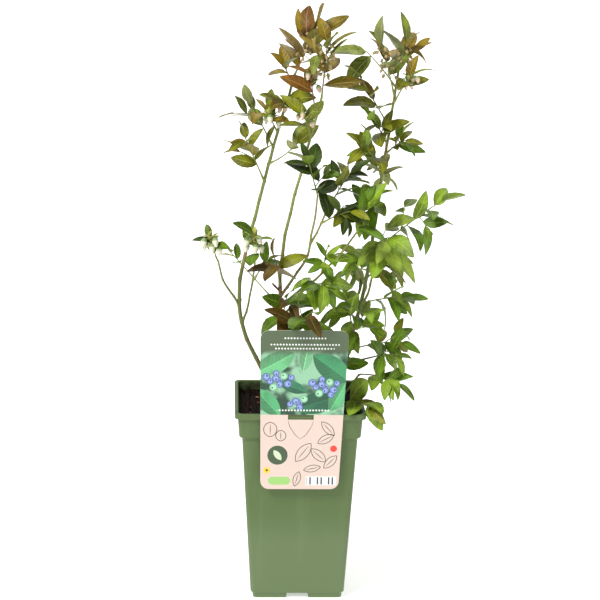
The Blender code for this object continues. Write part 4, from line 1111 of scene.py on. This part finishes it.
grown = {}
stems_of, flowers_of, leaves_of = ({shoot.name: [] for shoot in SHOOTS} for _ in range(3))
for shoot in SHOOTS:
    start = clear_start(shoot.limb, shoot.height, Vector(shoot.tip), STEM_RADIUS[0])
    grown[shoot.name] = grow(shoot, start)
    placed.append((shoot.name, *stem_form(grown[shoot.name][0][0], STEM_RADIUS, STEM_STEPS)))
for shoot in SHOOTS:
    stems, rows, rng = grown[shoot.name]
    stems_of[shoot.name].append(stems[0])
    grown[shoot.name] = rows[0]
    for stem, row in zip(stems[1:], rows[1:]):
        if is_clear(shoot.name, stem_form(stem, TWIG_RADIUS, TWIG_STEPS, CLEAR)):
            placed.append((shoot.name, *stem_form(stem, TWIG_RADIUS, TWIG_STEPS)))
            stems_of[shoot.name].append(stem)
            grown[shoot.name] += row
    for flower in bells_of(shoot, stems[0], rng):
        forms = bell_forms(*flower)
        if all(is_clear(shoot.name, form) for form in forms):
            flowers_of[shoot.name].append(flower)
            placed += [(shoot.name, *form) for form in forms]
for shoot in SHOOTS:
    crowd = []
    for leaf in grown[shoot.name]:
        form = leaf_form(leaf)
        if any(form[2].overlap(other) for other in crowd) or not is_clear(shoot.name, leaf_form(leaf, CLEAR)):
            continue
        crowd.append(form[2])
        placed.append((shoot.name, *form))
        leaves_of[shoot.name].append(leaf)

twig_finishes = {}
for group, (young, old) in TWIG_COLOURS.items():
    skin = twig_finishes[group] = Finish(f"twig_{group}", young, 0.5)
    streak = skin.noise(600.0, 4.0, (1.0, 1.0, 0.3))
    _, down, _ = skin.map_axes()
    colour = skin.blend((streak * 0.5 + skin.noise(60.0, 2.0) * 0.6).rise(0.35, 0.8), young, old)
    skin.feed("Base Color", skin.blend(down.rise(0.4, 2.4), (130, 140, 68), colour))
    skin.bump(streak, 0.00015)
    chosen = [shoot for shoot in SHOOTS if (shoot.tints.split()[0] in RED_TINTS) == (group == "red")]
    parts = []
    for shoot in chosen:
        for order, stem in enumerate(stems_of[shoot.name]):
            wide, thin = TWIG_RADIUS if order else STEM_RADIUS
            t = np.linspace(0, 1, TWIG_RINGS)
            path = bow(*(np.array(point) for point in stem), t[:, None])
            knots = 1 + 0.18 * np.maximum(0, np.cos(2 * np.pi * t * max(2, shoot.leaves - 1))) ** 4
            radii = (wide + (thin - wide) * t) * (SIDE_TWIG_SHARE if order else STEM_SHARE) * knots
            if order == 0:
                at_tip = shoot.height == TIP
                seat, along = at_height(limb_paths[shoot.limb], shoot.height)
                end = LIMBS[shoot.limb].radii[1] if at_tip else radii[0] * FOOT_FLARE
                radii = radii + (end - radii[0]) * np.exp(-(t / FOOT_FLARE_SHARE) ** 2)
                path = np.concatenate([[seat - along * (SUNK if at_tip else 0.0)], path])
                radii = np.concatenate([[end], radii])
            parts.append(tube_of(path, radii, TWIG_SIDES))
    add_joined(f"twigs_{group}", parts, skin, [shoot.name for shoot in chosen])


# Leaves.  Thin blades, broadest before the middle and pointed, folded a little along the
# midrib and wavy at the edge.  Young upper leaves are bronze, the lower ones fresh green.

LEAF_ROWS = 9
LEAF_COLUMNS = 5
LEAF_STEPS = (1 - np.cos(np.linspace(0, np.pi, LEAF_ROWS))) / 2
LEAF_THICK = 0.28
SIDE_VEINS = 6.5
FOLD_RANGE = (0.08, 0.36)
WAVE_RANGE = (0.0, 0.14)
TWIST_RANGE = (-0.5, 0.5)
CURL_RANGE = (-0.04, 0.16)
SWAY_RANGE = (-0.07, 0.07)
TINTS = {
    "bronze_red": ((122, 84, 26), (140, 120, 58), (190, 140, 66), "leaf_bronze"),
    "bronze": ((128, 108, 14), (140, 134, 60), (192, 170, 72), "leaf_bronze"),
    "olive": ((116, 120, 12), (140, 148, 62), (172, 176, 70), "leaf_olive"),
    "grey_green": ((118, 132, 46), (148, 156, 84), (176, 184, 104), "leaf_olive"),
    "dark_bronze": ((86, 68, 16), (116, 106, 50), (140, 120, 56), "leaf_bronze"),
    "dark_green": ((44, 64, 8), (92, 110, 40), (98, 122, 38), "leaf_olive"),
    "mid_green": ((82, 114, 8), (120, 142, 52), (146, 174, 54), "leaf_green"),
    "bright_green": ((118, 146, 34), (136, 164, 60), (178, 200, 74), "leaf_green"),
    "yellow_green": ((142, 164, 62), (154, 178, 74), (196, 214, 92), "leaf_green"),
}
EDGES = {"leaf_bronze": (112, 66, 22), "leaf_olive": (84, 82, 12), "leaf_green": (66, 98, 8)}


def leaf_finish(name, upper, vein, edge, mottled):
    """A satin leaf skin: curved side veins and a pale midrib read from the blade's own map, over
    a cloudy ground, with the skin puckered between the veins."""
    skin = Finish(name, upper, 0.42, specular_ior_level=0.3)
    across, along, _ = skin.map_axes()
    off = abs(across - 0.5) * 2.0
    wave = abs(((along - off * 0.32 + off * off * 0.1) * SIDE_VEINS).fraction() - 0.5)
    ribs = (1 - wave.rise(0.0, 0.11)) * off.rise(0.02, 0.2) * (1 - off.rise(0.75, 1.0))
    midrib = 1 - off.rise(0.03, 0.10)
    fine = skin.noise(700.0, 3.0)
    cloud = skin.noise(55.0, 3.0).rise(0.36, 0.64)
    ground = skin.blend(cloud * mottled, shade(upper, 0.76), shade(upper, 1.24))
    ground = skin.blend(fine.rise(0.5, 0.75) * 0.25, ground, shade(upper, 0.75))
    ground = skin.blend(off.rise(0.3, 1.0) * 0.25 + off.rise(0.84, 1.0) * 0.35, ground, edge)
    skin.feed("Base Color", skin.blend((midrib * 0.65 + ribs * 0.3).least(1.0), ground, vein))
    skin.feed("Roughness", 0.36 + fine * 0.2)
    skin.bump(wave * -0.8 + fine * 0.25 - midrib * 0.6, 0.0004)
    return skin


def leaf_points(leaves, draw):
    """Blades on a grid of t along and s across: centre(t) = root + way L t - face L (droop t^2 +
    curl t^4), half(t) = W/2 sin(pi t'^0.84)^0.7, and each point is centre + side s half + face
    half (fold |s| + wave s^2 sin).  The lower skin lies a thickness under the upper one."""
    vary = lambda span: draw.uniform(*span, (len(leaves), 1, 1, 1))
    root, way, face, length, width, droop = (np.array(column).reshape(len(leaves), 1, 1, -1)
                                             for column in zip(*leaves))
    side = np.cross(way, face)
    t = LEAF_STEPS[:, None, None]
    s = np.linspace(-1, 1, LEAF_COLUMNS)[:, None]
    inner = np.clip((t - 0.03) / 0.97, 0, 1)
    half = width * 0.52 * np.maximum(np.sin(np.pi * inner ** 0.84) ** 0.7, 0.05 - 0.045 * t)
    fold, wave, phase = vary(FOLD_RANGE), vary(WAVE_RANGE), vary((0, 2 * np.pi))
    twist, curl, sway = vary(TWIST_RANGE) * t, vary(CURL_RANGE), vary(SWAY_RANGE)
    rise = fold * abs(s) + wave * s * s * np.sin(6 * t + phase + 1.5 * np.sign(s))
    lie = side * np.cos(twist) + face * np.sin(twist)
    lift = face * np.cos(twist) - side * np.sin(twist)
    centre = root + way * length * t - face * length * (droop * t ** 2 + curl * t ** 4)
    centre = centre + side * length * sway * np.sin(np.pi * t)
    upper = centre + lie * s * half + lift * half * rise
    lower = upper - lift * LEAF_THICK * (1 + 1.2 * np.exp(-(s / 0.14) ** 2))
    return upper, lower[:, 1:-1, 1:-1]


def add_leaves(name, leaves, draw, skins, replaced):
    """All blades of one tint as one piece, its lower skins in the second material."""
    points = np.concatenate([skin.reshape(len(leaves), -1, 3) for skin in leaf_points(leaves, draw)], axis=1)
    faces = blade_faces + np.arange(len(leaves))[:, None, None] * points.shape[1]
    piece = add_piece(name, points * MM, faces.reshape(-1, 4), skins, replaced,
                      np.tile(blade_map, (len(leaves), 1)))
    lower_side = np.tile(np.repeat([0, 1], len(blade_faces) // 2), len(leaves)).astype(np.int32)
    piece.data.polygons.foreach_set("material_index", lower_side)


rim = np.arange(LEAF_ROWS * LEAF_COLUMNS).reshape(LEAF_ROWS, LEAF_COLUMNS)
upper_map = map_of(np.linspace(0, 1, LEAF_COLUMNS), LEAF_STEPS)
blade_map = np.concatenate([upper_map.reshape(-1, 2), upper_map[1:-1, 1:-1].reshape(-1, 2)])
rim[1:-1, 1:-1] = rim.size + np.arange(rim[1:-1, 1:-1].size).reshape(LEAF_ROWS - 2, -1)
quads = grid_faces(LEAF_ROWS, LEAF_COLUMNS)
blade_faces = np.concatenate([quads, rim.ravel()[quads][:, ::-1]])

for index, (name, (upper_colour, under_colour, vein, slot)) in enumerate(TINTS.items()):
    chosen, owners = [], []
    for shoot in SHOOTS:
        dealt = [shoot.tints.split()[k % 3 == 2] for k in range(len(leaves_of[shoot.name]))]
        mine = [leaf for leaf, dealt_tint in zip(leaves_of[shoot.name], dealt) if dealt_tint == name]
        chosen += mine
        owners += [shoot.name] if mine else []
    skins = [leaf_finish(f"leaf_{name}", upper_colour, vein, EDGES[slot], 0.8),
             leaf_finish(f"under_{name}", under_colour, vein, under_colour, 0.4)]
    add_leaves(f"leaves_{name}", chosen, np.random.default_rng(index + 1), skins, owners)


# Flowers.  Waxy urn-shaped bells hang in loose clusters from thin stalks, each from a small
# green calyx of five points; those near the canes' tops are younger and flushed with pink.
# Closed buds crowd the stems of four top shoots.

BELL_SIDES = 15
BELL_PROFILE = [(0.0, 0.30), (0.05, 0.62), (0.15, 0.90), (0.30, 1.06), (0.48, 1.04), (0.66, 0.86),
                (0.82, 0.60), (0.91, 0.46), (1.0, 0.56), (0.985, 0.48), (0.92, 0.38), (0.80, 0.50),
                (0.60, 0.55)]
CALYX_PROFILE = [(-0.11, 0.14), (-0.06, 0.46), (0.04, 0.68), (0.13, 0.88), (0.22, 1.04), (0.205, 0.94),
                 (0.10, 0.62)]
BUD_PROFILE = [(0.0, 0.25), (0.1, 0.62), (0.3, 0.95), (0.55, 1.0), (0.8, 0.72), (0.95, 0.35), (1.0, 0.1)]
BELL_SCALE = (0.95, 1.12)
BUD_SIDES = 10
BUD_COUNT = 24
BUDS_START = 0.4
BUD_SCALE = (0.42, 0.62)
BUD_STALK = (3.0, 8.0)
BUD_SHOOTS = ("top_left", "top_middle", "top_right", "top_right_left")
BLUSH_SHOOTS = ("bells_right_top", "dark_upper_left", "upper_front", "spur_left_top")
BLUSH_SIZE = 0.82
PETALS = {"white": ((240, 236, 216), (186, 204, 146)), "blush": ((226, 196, 172), (142, 148, 92))}
STALK_RADIUS = 0.42
BUD_STALK_RADIUS = 0.34
STALK_SIDES = 6
BRACT_LENGTH = (6.5, 12.0)
BRACT_WIDTH_SHARE = 0.42
BRACT_DROOP = (0.0, 0.3)
BRACT_LIFTS = {"white": (0.4, 0.8, 1.3, 1.8), "blush": (0.5, 1.1)}
BRACT_VEIN, BRACT_EDGE = (222, 228, 130), (196, 180, 100)


def turned(origin, axis, scale, profile, lobes, sides=BELL_SIDES):
    """Points, faces and map of a profile turned about an axis: origin + axis L t + R r(t) (side
    cos + front sin), its radius waved five times round by lobes, more towards the far end."""
    side = unit(np.cross(axis, (0.0, 1.0, 0.0)))
    front = np.cross(axis, side)
    t, r = np.array(profile).T[:, :, None, None]
    turn = turns(sides)[:, None]
    wave = np.cos(5 * turn) * np.clip(t, 0, 1) ** 2
    radius = r * (1 + lobes * wave) * BELL_RADIUS * scale
    spin = side * np.cos(turn) + front * np.sin(turn)
    length = (t + 0.25 * lobes * wave) * BELL_LENGTH * scale
    points = (origin + axis * length + radius * spin) * MM
    return points, capped(len(t), sides), map_of(np.arange(sides) / sides, np.linspace(0, 1, len(t)))


petals = {}
for group, (base, touch) in PETALS.items():
    petal = petals[group] = Finish(f"petal_{group}", base, 0.38)
    round_it, down, _ = petal.map_axes()
    flush = (1 - down.rise(0.05, 0.45)) * 0.75 + petal.noise(500.0, 2.0) * 0.25
    petal.feed("Base Color", petal.blend(flush, base, touch))
    petal.bump(petal.noise(900.0, 2.0) + (round_it * 10 * math.pi).sine() * 0.2, 0.00015)
bud_skin = Finish("bud_skin", (170, 162, 124), 0.42)
_, down, _ = bud_skin.map_axes()
ripe = down.rise(0.1, 0.9) * 0.6 + bud_skin.noise(260.0, 2.0) * 0.5
bud_skin.feed("Base Color", bud_skin.blend(ripe, (142, 158, 88), (196, 150, 118)))
calyx_green = Finish("calyx_green", (124, 149, 79), 0.5)
grain = calyx_green.noise(500.0, 3.0)
calyx_green.feed("Base Color", calyx_green.blend(grain, (116, 146, 92), (156, 178, 122)))
for skin in (bud_skin, calyx_green):
    skin.bump(skin.noise(900.0, 2.0), 0.0001)

draw = np.random.default_rng(11)
clusters, bearing = ({group: [] for group in PETALS} for _ in range(2))
calyxes, stalks, flowering, bracts = [], [], [], []
for shoot in SHOOTS:
    group = "blush" if shoot.name in BLUSH_SHOOTS else "white"
    if flowers_of[shoot.name]:
        flowering.append(shoot.name)
        bearing[group].append(shoot.name)
    for root, way, hang in flowers_of[shoot.name]:
        scale = draw.uniform(*BELL_SCALE) * (BLUSH_SIZE if group == "blush" else 1.0)
        axis = np.array(hang)
        neck = np.array(root + way * PEDICEL)
        clusters[group].append(turned(neck, axis, scale, BELL_PROFILE, 0.10))
        calyxes.append(turned(neck, axis, scale, CALYX_PROFILE, 0.30))
        bend = np.array(root + way * PEDICEL * 0.9 + UP * 0.8)
        path = bow(np.array(root), bend, neck + axis * 0.2, np.linspace(0, 1, 7)[:, None])
        stalks.append(tube_of(path, np.full(7, STALK_RADIUS), STALK_SIDES))
        for lift in BRACT_LIFTS[group]:
            leaflet = way + UP * (lift + draw.uniform(-0.3, 0.6)) + Vector(draw.uniform(-0.5, 0.5, 3))
            leaflet.normalize()
            face = (UP - leaflet * leaflet.z + Vector((0.01, 0.0, 0.0))).normalized()
            length = draw.uniform(*BRACT_LENGTH)
            bracts.append(Leaf(root, leaflet, face, length, length * BRACT_WIDTH_SHARE,
                               draw.uniform(*BRACT_DROOP)))
for group, parts in clusters.items():
    add_joined(f"bells_{group}", parts, petals[group], bearing[group])
add_joined("calyxes", calyxes, calyx_green, flowering)
bract_skins = [leaf_finish("bract_upper", (198, 206, 88), BRACT_VEIN, BRACT_EDGE, 0.4),
               leaf_finish("bract_under", (202, 210, 112), BRACT_VEIN, BRACT_EDGE, 0.3)]
add_leaves("bracts", bracts, draw, bract_skins, flowering)

buds = []
budding = [shoot.name for shoot in SHOOTS if shoot.name in BUD_SHOOTS]
for name in budding:
    for k in range(BUD_COUNT):
        root = np.array(bow(*stems_of[name][0], BUDS_START + (1 - BUDS_START) * (k + 0.5) / BUD_COUNT))
        azimuth = math.radians(LEAF_TURN * k) + draw.uniform(-0.4, 0.4)
        out = unit(np.array((math.cos(azimuth), math.sin(azimuth), draw.uniform(-0.7, 0.3))))
        neck = root + out * draw.uniform(*BUD_STALK)
        axis = unit(out - np.array(UP))
        buds.append(turned(neck, axis, draw.uniform(*BUD_SCALE), BUD_PROFILE, 0.06, BUD_SIDES))
        path = np.linspace(root, neck, 4)
        path[1:3, 2] += 0.7
        stalks.append(tube_of(path, np.full(4, BUD_STALK_RADIUS), STALK_SIDES))
add_joined("flower_buds", buds, bud_skin, budding)
add_joined("flower_stalks", stalks, twig_finishes["green"],
           flowering + [name for name in budding if name not in flowering])
